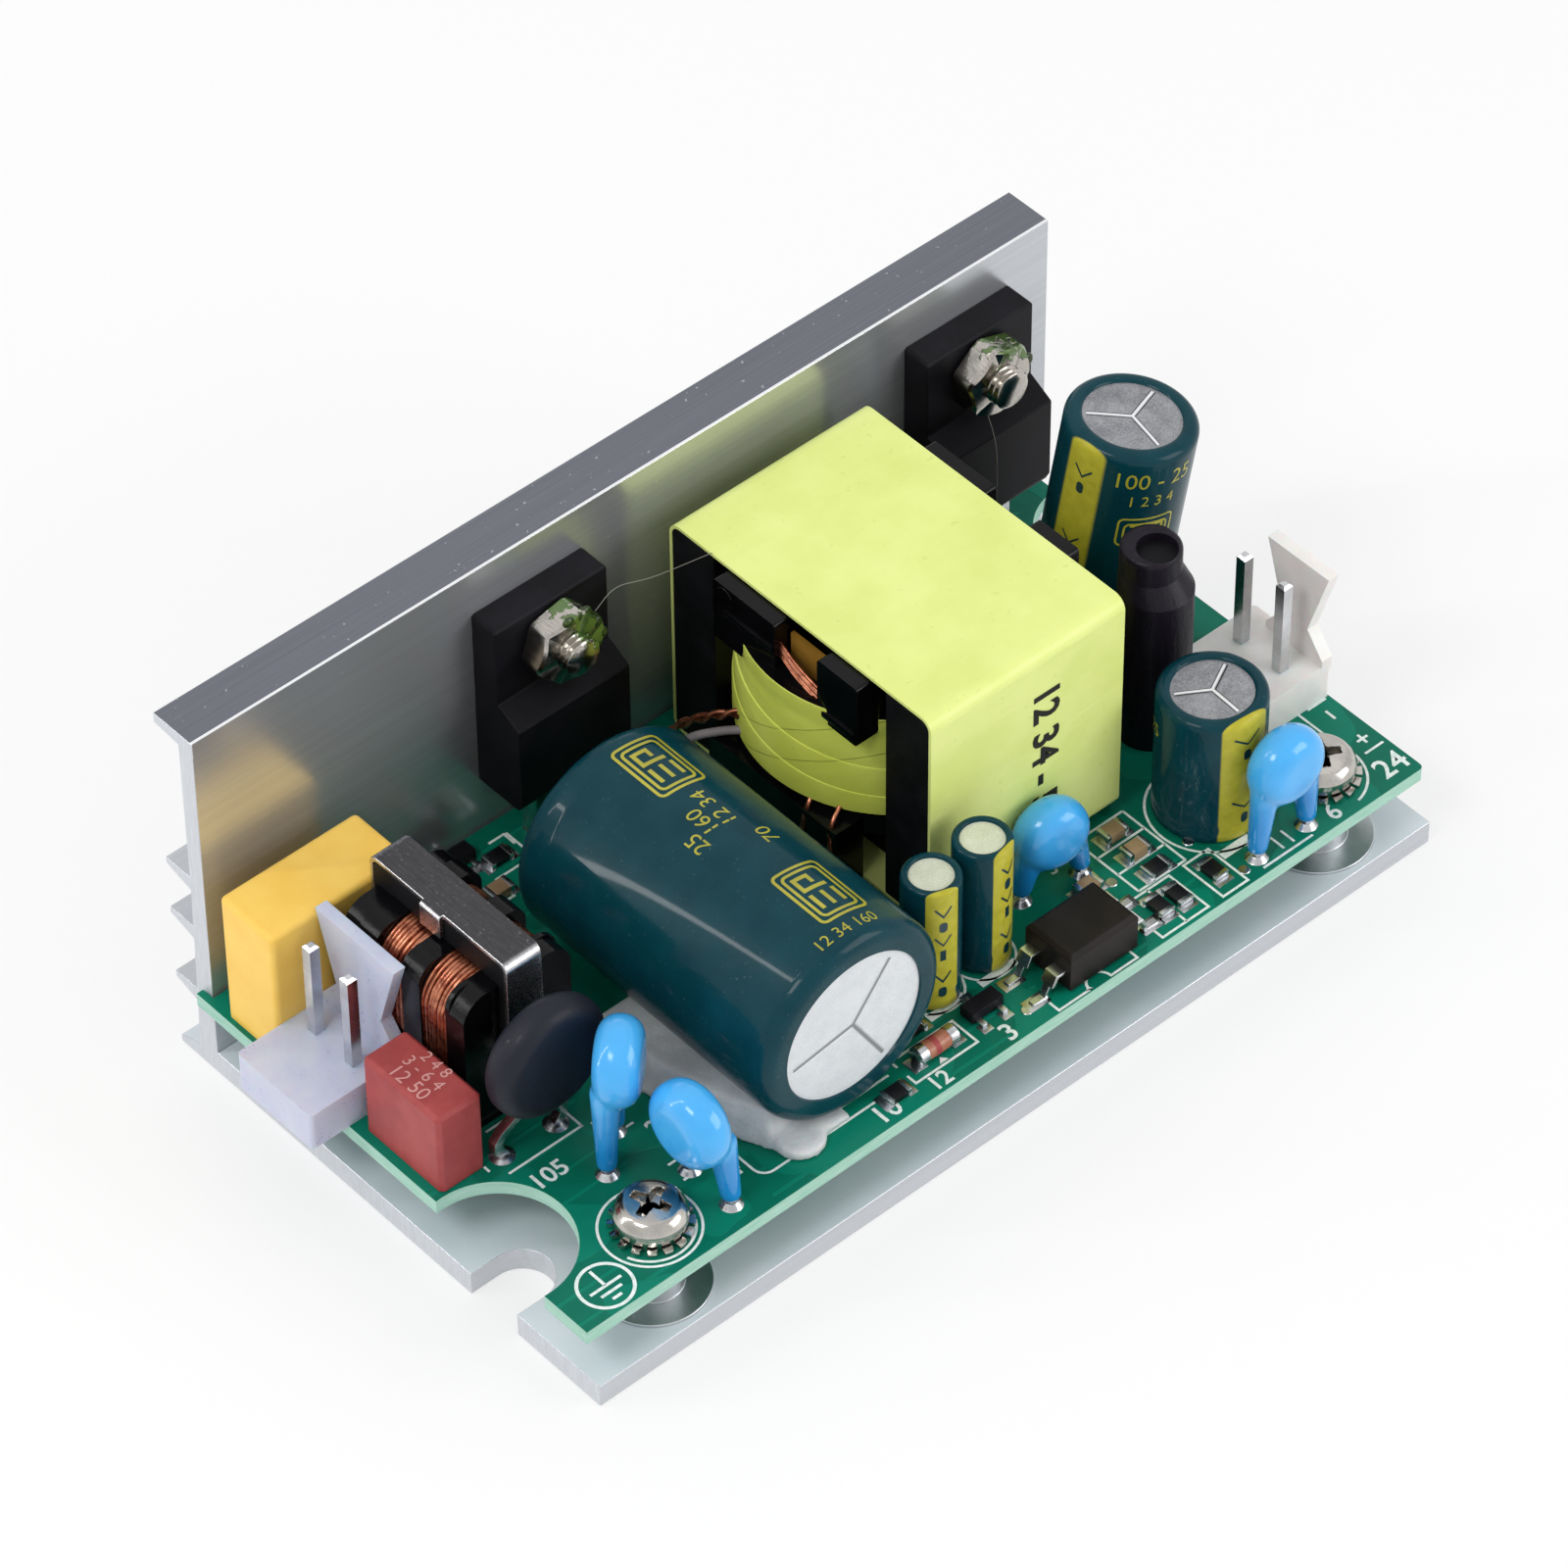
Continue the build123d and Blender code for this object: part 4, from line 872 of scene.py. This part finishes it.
def sleeve_printing():
    """Framed marks and plain numbers in gold, and dark marks down the polarity stripes."""

    def on_bulk(angle, height, turn=90.0):
        return wrapped(bulk_frame, BULK_R + PRINT_LIFT, angle, height, turn)

    gold = Shape()
    for angle, height in ((-80.0, 21.4), (-78.0, 5.4)):
        boxed_mark(gold, on_bulk(angle, height), 5.4, 4.0, 0.24)
    for text, size, lay in (
        ("12 34", 1.75, on_bulk(-79.0, 15.8)), ("160", 1.75, on_bulk(-90.0, 15.2)),
        ("25", 1.75, on_bulk(-101.0, 14.0)), ("70", 1.75, on_bulk(-70.0, 11.8)),
        ("12 34 160", 1.35, on_bulk(-86.0, 1.5, 0.0)), ("100 - 25", 1.9, tall.lay(-85.0, 17.4)),
        ("1 2 3 4", 1.3, tall.lay(-85.0, 15.6)), ("25", 1.6, short.lay(175.0, 8.6)),
        ("10 50", 1.2, first_small.lay(5.0, 8.4, 90.0)), ("10 50", 1.2, second_small.lay(25.0, 8.4, 90.0)),
    ):
        gold.words(text, size, lay)
    boxed_mark(gold, tall.lay(-85.0, 12.8), 4.2, 2.4)
    boxed_mark(gold, short.lay(20.0, 6.0), 3.6, 2.4)
    gold.piece("sleeve_printing", gold_print)
    dark = Shape()
    for can, reach, heights in (
        (tall, 0.75, (16.8, 10.2, 3.6)), (short, 1.1, (9.6, 3.4)),
        (first_small, 0.62, (9.6, 6.4, 3.2)), (second_small, 0.62, (9.6, 6.4, 3.2)),
    ):
        for i, height in enumerate(heights):
            lay = can.lay(can.stripe, height)
            if i == 1 and len(heights) == 3:
                dark.stroke(dense([(-reach, 0.9), (0.0, 0.1), (reach, 0.9)], 0.3), 0.14, lay=lay)
                dark.stroke(dense([(0.0, -1.4), (0.0, -0.4)], 0.3), 0.42, lay=lay)
            else:
                dark.stroke(dense([(-reach, 0.5), (0.0, -0.3), (reach, 0.5)], 0.3), 0.16, lay=lay)
                dark.patch(rounded(-0.3, 0.3, -1.8, -0.85, 0.28, 4), lay=lay)
    dark.piece("stripe_marks", dark_print)


sleeve_printing()


# Common-mode choke windings


def choke_turns():
    """Nine turns of thick wire side by side in each chamber, over the turns below them."""
    turns = Shape()
    radius, count = 0.19, 9

    def loop(half_width, half_height, corner, steps):
        return rounded(-half_width, half_width, -half_height, half_height, corner, steps)

    for low, high in ((20.6, 24.1), (24.9, 28.3)):
        pitch = (high - low - 2 * radius) / count
        turns.rings([[(CHOKE_X + u, y, CHOKE_Z + v) for u, v in loop(4.3, 4.7, 2.6, 5)] for y in (low, high)])
        path = []
        outer = loop(4.52, 4.95, 2.9, 8)
        for n in range(count):
            wander = chance.uniform(-0.1, 0.1)
            swell = chance.uniform(0.96, 1.0)
            for i, (u, v) in enumerate(outer):
                share = i / len(outer)
                y = low + radius + (n + share) * pitch + wander * sin(pi * share)
                path.append((CHOKE_X + u * swell, y, CHOKE_Z + v * swell))
        turns.tube(path, radius)
    turns.piece("choke_wire", copper, ["choke_windings"], corner=60)


choke_turns()


# Transformer windings and wires


def transformer_drum():
    """The taped winding, bulged a little, with a thin collar of tape round its top."""
    side, low, high = 11.05, 15.0, 22.7
    levels = [(10.4, 14.5), (10.85, 14.6), (side, low)]
    levels += [(side + 0.15 * sin(pi * i / 12), low + (high - low) * i / 12) for i in range(1, 12)]
    levels += [(side, high), (11.16, 23.2), (11.16, 24.15), (11.11, 24.18), (11.11, 23.2)]
    levels += [(6.75, 23.2), (6.75, 14.5)]
    drum = Shape().lathe(levels, frame_at(DRUM_X, DRUM_Y, 0.0), 120)
    drum.piece("taped_drum", drum_tape, ["transformer_winding"], corner=50)


def tape_turns():
    """Two more turns of tape over the drum, their edges running aslant."""
    turns = Shape()
    steps = 60
    for radius, low_edge, high_edge in ((11.3, (14.8, 0.1), (21.0, 1.5)), (11.42, (14.9, 0.1), (18.2, 1.3))):
        rows = []
        for k in range(steps + 1):
            angle = radians(120.0 + 120.0 * k / steps)
            tilt = cos(angle - radians(240.0))
            low = low_edge[0] + low_edge[1] * tilt
            high = high_edge[0] - high_edge[1] * tilt
            row = [(radius - 0.3, low), (radius, low + 0.2), (radius, high - 0.3)]
            row += [(radius - 0.06, high - 0.1), (radius - 0.3, high)]
            rows.append([(DRUM_X + r * cos(angle), DRUM_Y + r * sin(angle), z) for r, z in row])
        turns.rings(rows, closed_round=False)
    turns.piece("tape_turns", drum_tape, corner=40)


def wire_ends():
    """Strands crossing between the wings, drops to the pins, a twisted pair and a sleeved lead."""
    wires = Shape()
    for n in range(5):
        z = 24.5 + 0.3 * n + chance.uniform(-0.05, 0.05)
        path = smooth_path([(39.7, 26.6, z + 0.7), (39.2, 24.0, z + 0.2), (39.3, 21.2, z - 0.8)], 6)
        wires.tube(path, 0.12)
    for y, bow in ((21.5, 0.25), (19.0, -0.2)):
        path = [(39.2, y + 0.6, 15.4), (38.0, y + 0.2, 14.4), (37.6, y + bow, 12.0), (37.9, y - 0.1, 9.0)]
        wires.tube(smooth_path(path, 6), 0.2)
    core = [(39.3, 29.6, 17.0), (38.3, 32.0, 15.6), (37.5, 34.4, 13.4), (37.2, 36.0, 10.4), (37.2, 36.1, 7.0)]
    for side in (0.0, pi):
        strand = []
        for i, spot in enumerate(smooth_path(core, 14)):
            turn = i * 0.42 + side
            strand.append(spot + Vector((0.2 * cos(turn), 0.2 * sin(turn), 0.12 * sin(turn))))
        wires.tube(strand, 0.19)
    wires.piece("transformer_wire_ends", copper, ["transformer_wires"], corner=60)
    lead = Shape()
    path = [(39.5, 28.8, 15.8), (38.2, 31.0, 14.9), (36.8, 33.0, 13.4), (36.2, 33.8, 10.4), (36.2, 33.8, 7.4)]
    lead.tube(smooth_path(path, 8), 0.33, 12)
    lead.piece("sleeved_lead", grey_sleeve, corner=60)
    Shape().slab(40.3, 40.6, 22.0, 25.8, 24.2, 27.0).piece("amber_patch", amber_tape)


def bobbin_details():
    """The small round stop and the ribs on the bobbin's wings."""
    stop = Shape()
    wing_side = frame_at(38.95, 31.2, 27.3, 90.0, "Y")
    stop.lathe([(0.0, 0.0), (0.75, 0.0), (0.85, 0.1), (0.85, 1.2), (0.0, 1.2)], wing_side, 24)
    stop.slab(38.85, 39.25, 26.2, 31.2, 25.6, 26.1, 0.1)
    stop.slab(38.85, 39.25, 17.9, 21.4, 23.3, 23.9, 0.1)
    stop.piece("bobbin_ribs", black_plastic, corner=40)


transformer_drum()
tape_turns()
wire_ends()
bobbin_details()


# Clamp nuts and screws


def nut_face(x):
    """The frame of a clamp nut: its seat on the package, the third axis away from the wall."""
    return frame_at(x, WALL_Y - 2.5, CLAMP_Z, 90.0, "X")


def clamp_screws():
    """Threaded screw ends out of the packages, with recessed screw heads behind the wall."""
    screws = Shape()
    pitch, crest_r, root_r = 0.5, 1.5, 1.2
    start, end = -1.2, 3.55
    thread = []
    for i in range(10):
        low = pitch * i
        thread += [(crest_r, low), (crest_r, low + 0.06), (root_r, low + 0.25), (root_r + 0.02, low + 0.3)]
    thread = [(r, h + start) for r, h in thread if h + start < end]

    def crown(r, turn):
        return 1.5 - 0.5 * (r / HEAD_R) ** 3 - cross_recess(r, turn, 1.3, 0.4, 0.8)

    for x, _ in CLAMP_SCREWS:
        screws.lathe([(0.0, -4.3), (1.45, -4.3), *thread, (1.15, end + 0.05), (0.0, end)], nut_face(x), 32)
        head = frame_at(x, WALL_Y + 1.5, CLAMP_Z, -90.0, "X")
        screws.lathe([(HEAD_R * i / 30, crown) for i in range(1, 31)], head, 64)
        screws.lathe([(HEAD_R, 1.0), (HEAD_R, 0.0), (1.4, 0.0)], head, 64)
    screws.piece("clamp_screw_threads", lacquered, ["clamp_screws"], corner=50)


def hexagon_nuts():
    """Nuts whose outer corners are chamfered off and slope down."""
    nuts = Shape()
    half_flat = 2.75
    corner_r = half_flat / cos(pi / 6)
    steps = 72
    levels = ((0.56, 0.02), (0.9, 0.0), (1.0, 0.25), (1.0, 2.1), (0.94, 2.36), (0.56, 2.4), (0.5, 2.2))
    for x, turn in CLAMP_SCREWS:
        place = nut_face(x) @ Matrix.Rotation(radians(turn), 4, "Z")
        rows = []
        for share, height in levels:
            ring = []
            for k in range(steps):
                a = tau * k / steps
                hexagon = half_flat / cos(a % (pi / 3) - pi / 6)
                corner = (hexagon - half_flat) / (corner_r - half_flat)
                r, z = half_flat * share, height
                if share > 0.7:
                    r = min(hexagon, 3.05 + 0.05 * (1 - corner)) * share
                    z = height - 0.3 * corner if height > 1.0 else height
                ring.append(place @ Vector((r * cos(a), r * sin(a), z)))
            rows.append(ring)
        nuts.rings(rows, looped=True)
    nuts.piece("hexagon_nuts", lacquered, ["clamp_nuts"], corner=25)


def nut_lacquer():
    """Drops of lacquer, run together over the upper side of each nut."""
    drops = Shape()
    count = 14
    for x, _ in CLAMP_SCREWS:
        for _ in range(count):
            angle, reach = chance.uniform(-0.6, 1.7), chance.uniform(2.0, 2.7)
            size = chance.uniform(0.4, 0.65)
            dome = [(size * sin(pi * i / 8), size * 0.5 * -cos(pi * i / 8)) for i in range(9)]
            spot = Vector((reach * cos(angle), reach * sin(angle), chance.uniform(1.4, 2.25)))
            drops.lathe(dome, nut_face(x) @ Matrix.Translation(spot), 16)
    run_together(drops.piece("nut_lacquer", lock_green, corner=80), 0.09, 14)


# Flat parts on the board

DIODE = frame_at(33.3, 3.4, BOARD_TOP + 0.72, 90.0, "Y")


def outward(side, near, far):
    """Two distances to one side of a middle, the lower first."""
    return sorted((side * near, side * far))


def flat_parts():
    """Chip parts with their silver ends, pads and legs, and the caps of the glass diode."""
    ends, blacks, tans = Shape(), Shape(), Shape()
    for body, places, height in ((blacks, CHIP_RESISTORS, 0.55), (tans, CHIP_CAPACITORS, 0.85)):
        for x, y, turn in places:
            place = frame_at(x, y, BOARD_TOP, turn)
            body.slab(-0.66, 0.66, -0.6, 0.6, 0.02, height, 0.04, place)
            for side in (-1, 1):
                ends.slab(*outward(side, 0.62, 1.0), -0.625, 0.625, 0.0, height + 0.03, 0.06, place)
                ends.slab(*outward(side, 0.7, 1.45), -0.75, 0.75, 0.0, PAD, 0.02, place)
    for x, y in SMALL_TRANSISTORS:
        for dx, side in ((-0.95, -1), (0.95, -1), (0.0, 1)):
            place = frame_at(x + dx, y + side * 0.65, BOARD_TOP)
            ends.slab(-0.24, 0.24, *outward(side, 0.0, 0.75), 0.0, 0.4, 0.06, place)
            ends.slab(-0.45, 0.45, *outward(side, 0.3, 1.2), 0.0, 0.05, 0.02, place)
    for x in (41.6, 52.4):
        for y in (2.13, 4.67):
            ends.slab(x - 1.0, x + 0.9, y - 0.6, y + 0.6, BOARD_TOP, BOARD_TOP + PAD, 0.02)
    for turn in (0.0, 180.0):
        cap = DIODE @ Matrix.Rotation(radians(turn), 4, "X")
        ends.lathe([(0.0, 1.0), (0.74, 1.0), (0.76, 1.1), (0.76, 1.7), (0.66, 1.78), (0.0, 1.78)], cap, 24)
    for x in (31.5, 35.1):
        ends.slab(x - 0.6, x + 0.6, 2.7, 4.1, BOARD_TOP, BOARD_TOP + PAD, 0.02)
    ends.piece("solder_ends", solder, ["chip_resistors"], corner=40)
    blacks.piece("chip_black_bodies", chip_black)
    tans.piece("chip_tan_bodies", chip_tan, ["chip_capacitors"])


def glass_diode():
    """The diode's glass tube and the red band on it."""
    tube = [(0.0, -1.05), (0.7, -1.05), (0.72, -0.9), (0.72, 0.9), (0.7, 1.05), (0.0, 1.05)]
    Shape().lathe(tube, DIODE, 24).piece("diode_tube", diode_glass, ["glass_diode"])
    band = [(0.0, -0.4), (0.73, -0.4), (0.73, 0.05), (0.0, 0.05)]
    Shape().lathe(band, DIODE, 24).piece("diode_band", red_case)


def solder_pads():
    """Rings of solder where leads come up through the board, and a few bare test pads."""
    pads = Shape()
    for profile, sides, spots in (
        (
            [(0.5, 0.42), (0.62, 0.3), (0.76, 0.1), (0.86, 0.0)], 24,
            [
                (9.5, 10.0), (12.4, 12.6), (13.9, 2.4), (13.9, 6.6),
                (47.3, 9.9), (52.3, 9.1), (62.4, 1.9), (67.2, 1.9),
            ],
        ),
        ([(0.4, 0.3), (0.7, 0.12), (0.95, 0.0)], 20, [(5.3, 16.0), (9.9, 15.8)]),
        (
            [(0.05, 0.05), (0.4, 0.05), (0.45, 0.0)], 16,
            [(40.6, 2.0), (60.9, 1.6), (53.2, 6.9), (59.9, 6.2), (21.6, 4.9), (27.0, 6.2), (16.4, 9.2)],
        ),
    ):
        for x, y in spots:
            pads.lathe(profile, frame_at(x, y, BOARD_TOP), sides)
    pads.piece("solder_pads", solder, corner=40)


flat_parts()
glass_diode()
solder_pads()


# Marks and stray threads


def case_marks():
    """Plain numbers on the transformer's tape and the fuse."""
    on_tape = Shape()
    on_tape.words("12 34 - 56", 3.3, lambda u, v: Vector((50.9 + v, 11.57, 18.4 - u)), 0.09)
    on_tape.piece("tape_marks", mark_ink)
    on_fuse = Shape()
    top = BOARD_TOP + 7.32
    for text, x, size in (("12 50", 0.85, 1.6), ("3 - 6 4", 2.1, 1.4), ("2 4 8", 3.2, 1.3)):
        on_fuse.words(text, size, flat_at(x, 20.0, -90.0, top))
    on_fuse.piece("fuse_marks", case_ink)


def stray_threads():
    """Hair-thin threads of set lacquer pulled from the two nuts."""
    threads = Shape()
    first = [(31.6, 36.2, 27.2), (33.4, 36.0, 28.4), (36.3, 35.4, 28.0), (40.3, 33.9, 28.75)]
    second = [(68.1, 36.4, 23.8), (67.6, 34.5, 21.0), (67.5, 34.2, 15.0)]
    for path in (first, second):
        threads.tube(smooth_path(path, 10), 0.028, 6)
    threads.piece("lacquer_threads", set_lacquer, corner=80)


case_marks()
stray_threads()


# Board screws and washers


def cross_recess(r, turn, size=1.35, width=0.42, depth=1.0):
    """How deep a cross recess goes at a spot on a screw head."""
    x, y = abs(r * cos(turn)), abs(r * sin(turn))
    arm = min(x, y)
    reach = max(x, y)
    side = 1.0 - min(1.0, max(0.0, (arm - width * (1.0 - 0.35 * reach / size)) / 0.06))
    end = 1.0 - min(1.0, max(0.0, (reach - size) / 0.1))
    core = 1.0 - min(1.0, max(0.0, (r - 0.6) / 0.08))
    return depth * max(side * end * (1.0 - 0.3 * reach / size), core)


def board_screw_heads():
    """Pan heads with a cross recess, and their shanks down into the standoffs."""
    heads = Shape()
    rim_start, rim_width = 1.75, 0.85

    def dome(r, turn):
        rim = max(0.0, (r - rim_start) / rim_width)
        return 1.82 - 0.22 * (r / HEAD_R) ** 2 - 0.75 * rim**2.4 - cross_recess(r, turn)

    for x, y, turn in BOARD_SCREWS:
        place = frame_at(x, y, BOARD_TOP + 0.6, turn)
        heads.lathe([(HEAD_R * i / 52, dome) for i in range(1, 53)], place, 120)
        heads.lathe([(HEAD_R, 0.85), (2.62, 0.5), (2.55, 0.02), (1.5, 0.0)], place, 120)
        heads.lathe([(1.5, 0.0), (1.5, -5.8), (1.2, -6.1), (0.1, -6.1)], place, 32)
    heads.piece("board_screw_heads", nickel, ["board_screws"], corner=40)


def tooth_washers():
    """Shake-proof washers: a flat ring with twisted teeth round its outside."""
    washers = Shape()
    teeth, points, tooth_share = 16, 8, 0.6
    sides = teeth * points
    bore_r, root_r, tip_r = 1.55, 2.35, 3.0
    for x, y, _ in BOARD_SCREWS:
        place = frame_at(x, y, BOARD_TOP)
        lows, highs = [], []
        for r in (bore_r, root_r, tip_r):
            low, high = [], []
            for k in range(sides):
                turn = tau * k / sides
                share = (k % points) / points
                reach, twist = r, 0.0
                if r == tip_r and share > tooth_share:
                    reach = root_r + 0.07
                elif r == tip_r:
                    twist = (share / tooth_share - 0.5) * 0.36
                spot = Vector((reach * cos(turn), reach * sin(turn), 0.0))
                low.append(place @ (spot + Vector((0, 0, 0.13 + max(-0.13, twist)))))
                high.append(place @ (spot + Vector((0, 0, 0.45 + min(0.15, twist)))))
            lows.append(low)
            highs.append(high)
        washers.rings([*lows, *highs[::-1]], looped=True)
    washers.piece("tooth_washers", nickel, ["screw_washers"], corner=30)


board_screw_heads()
tooth_washers()
clamp_screws()
hexagon_nuts()
nut_lacquer()


# Printing on the board


def board_printing():
    """White outlines, rings, signs and plain numbers."""
    p = Shape()
    thin = 0.2
    for x, y, r, width, steps in (
        (2.9, 2.56, 1.95, 0.26, 48), (8.5, 4.5, 3.55, thin, 64), (37.0, 7.9, 2.4, thin, 48),
        (41.8, 7.9, 2.4, thin, 48), (63.3, 7.7, 4.5, thin, 64),
    ):
        p.stroke(arc(x, y, r, 0, 360, steps)[:-1], width, looped=True)
    for path in (
        arc(8.5, 4.5, 3.1, 200, 330, 32), [(4.55, 14.4), (11.1, 14.4)], [(3.7, 15.4), (3.7, 16.0)],
        [(11.0, 14.4), (11.0, 18.3), (5.8, 18.3)], [(11.6, 12.3), (13.8, 12.3)], [(11.6, 13.2), (13.8, 13.2)],
        [(11.6, 14.1), (13.8, 14.1)], [(13.0, 7.8), (14.8, 7.8)], [(12.9, 6.1), (14.6, 6.1)],
        [(17.0, 7.2), (17.0, 4.0), *arc(18.0, 3.7, 1.0, 180, 270, 6), (29.5, 2.7)],
        [(25.0, 3.1), (25.0, 3.9), (29.5, 3.9)],
        [(30.4, 3.0), (30.4, 2.1), (36.1, 2.1), (36.1, 4.7), (30.4, 4.7), (30.4, 4.0)],
        [(42.2, 1.5), (42.2, 0.5), (45.1, 0.5), *arc(46.1, 0.5, 1.0, 180, 0, 12), (49.6, 0.5), (49.6, 1.5)],
        [(54.0, 5.0), (58.5, 5.0)], [(54.0, 7.1), (58.5, 7.1)], [(54.0, 9.2), (58.5, 9.2)],
        [(54.0, 11.4), (58.5, 11.4)], [(54.0, 5.0), (54.0, 11.4)], [(58.5, 5.0), (58.5, 11.4)],
        [(54.5, 0.7), (54.5, 4.7)], [(62.0, 0.8), (66.8, 0.8)], [(64.4, 1.2), (64.4, 2.6)],
        [(65.4, 1.2), (65.4, 2.6)], [(74.3, 10.4), (74.3, 5.6), *arc(70.9, 4.6, 3.6, 15, -80, 20)],
        [(76.9, 4.0), (75.1, 4.0)], [(76.9, 9.8), (75.1, 9.8)], [(23.4, 38.8), (24.8, 38.8), (24.8, 37.6)],
        [(21.5, 35.8), (25.0, 35.8), (25.0, 38.8)], [(20.3, 33.8), (21.5, 33.8), (21.5, 35.0)],
    ):
        p.stroke(path, thin)
    for x0, y0, x1, y1, width in (
        (2.9, 4.2, 2.9, 2.6, 0.24), (1.55, 2.55, 4.25, 2.55, 0.24), (2.0, 1.95, 3.8, 1.95, 0.24),
        (2.5, 1.35, 3.3, 1.35, 0.24), (76.0, 4.7, 76.0, 5.7, 0.22), (75.5, 5.2, 75.89, 5.2, 0.22),
        (76.11, 5.2, 76.5, 5.2, 0.22), (76.0, 7.9, 76.0, 8.9, 0.22), (35.0, 5.9, 38.4, 5.9, 0.7),
        (39.8, 5.9, 43.2, 5.9, 0.7), (60.6, 3.6, 63.4, 3.6, 0.8),
    ):
        p.stroke([(x0, y0), (x1, y1)], width)
    for x0, x1 in ((52.2, 56.6), (58.0, 60.4)):
        p.stroke([(x0, 0.7), (x1, 0.7), (x1, 4.7), (x0, 4.7)], thin, looped=True)
    p.patch([(32.8, 2.3), (33.6, 2.3), (33.2, 2.8)])
    for text, x, y, size in (
        ("105", 6.5, 12.5, 2.0), ("2", 14.6, 10.9, 2.1), ("4", 16.0, 4.6, 2.1), ("10", 27.2, 1.5, 2.2),
        ("12", 31.8, 1.2, 1.8), ("3", 38.3, 1.3, 2.2), ("6", 69.4, 1.4, 2.1), ("5", 51.0, 10.6, 1.5),
        ("24", 75.7, 1.95, 2.6),
    ):
        p.words(text, size, flat_at(x, y), 0.035)
    p.piece("board_printing", white_ink)


board_printing()


# Camera


def link(name, data):
    """Put a camera, lamp or sheet of that name into the scene."""
    made = bpy.data.objects.new(name, data)
    bpy.context.collection.objects.link(made)
    return made


def aim_camera():
    """A long lens from the front left, high up."""
    data = bpy.data.cameras.new("camera")
    data.lens = 182.0
    data.sensor_width = 36.0
    data.sensor_fit = "HORIZONTAL"
    data.clip_start = 0.01
    data.clip_end = 10.0
    camera = link("camera", data)
    turn, rise, roll = radians(-41.37), radians(45.75), radians(-0.52)
    back = Vector((sin(turn) * cos(rise), -cos(turn) * cos(rise), sin(rise)))
    level = (-back).cross(Vector((0, 0, 1))).normalized()
    upright = level.cross(-back)
    right = level * cos(roll) + upright * sin(roll)
    top = upright * cos(roll) - level * sin(roll)
    axes = Matrix((right, top, back)).transposed().to_4x4()
    camera.matrix_world = Matrix.Translation(Vector((-253.93, -285.46, 407.92)) * MM) @ axes
    bpy.context.scene.camera = camera


# Studio


def softbox(name, place, size, power):
    """A rectangular lamp aimed at the module."""
    data = bpy.data.lights.new(name, "AREA")
    data.shape = "RECTANGLE"
    data.size, data.size_y = size
    data.energy = power
    lamp = link(name, data)
    lamp.location = place
    lamp.rotation_euler = (Vector((0, 0, 0.01)) - Vector(place)).to_track_quat("-Z", "Y").to_euler()


def paper_floor():
    """A white sheet that is seen partly as plain paper and partly as an even glow."""
    sheet = bpy.data.meshes.new("floor")
    sheet.from_pydata([(-4, -4, 0), (4, -4, 0), (4, 4, 0), (-4, 4, 0)], [], [(0, 1, 2, 3)])
    ground = link("floor", sheet)
    ground.location.z = -0.00005
    f = Finish("floor paper", "floor", "f4f4f4", 0.8)
    f.wear(colour=f.blend(f.noise(0.004, 2.0), "f2f2f2", "f6f6f6"))
    glow = f.node("Emission", None, {"Color": "ffffff", "Strength": 1.0})
    paper = f.node("MixShader", None, {0: 0.6 * f.seen(), 1: Flow(f, f.shader.outputs[0]), 2: glow})
    f.feed(f.output.inputs["Surface"], paper)
    sheet.materials.append(f.material)


def studio():
    """Four lamps, the floor, and a white world that lights less than it shows."""
    softbox("upper left", (-0.35, -0.05, 0.45), (0.2, 0.14), 0.75)
    softbox("right fill", (0.3, -0.42, 0.22), (0.3, 0.3), 1.0)
    softbox("overhead", (0.05, 0.2, 0.7), (1.1, 0.9), 0.55)
    softbox("window", (-0.375, 0.263, 0.248), (0.014, 0.6), 0.5)
    paper_floor()
    world = bpy.data.worlds.new("studio")
    bpy.context.scene.world = world
    sky = Tree(world)
    level = sky.node("MapRange", None, {"Value": sky.seen(), "To Min": 0.84, "To Max": 1.0})
    output = sky.nodes.new("ShaderNodeOutputWorld")
    sky.feed(output.inputs["Surface"], sky.node("Background", None, {"Strength": level}))


aim_camera()
studio()
bpy.context.scene.view_settings.view_transform = "Standard"
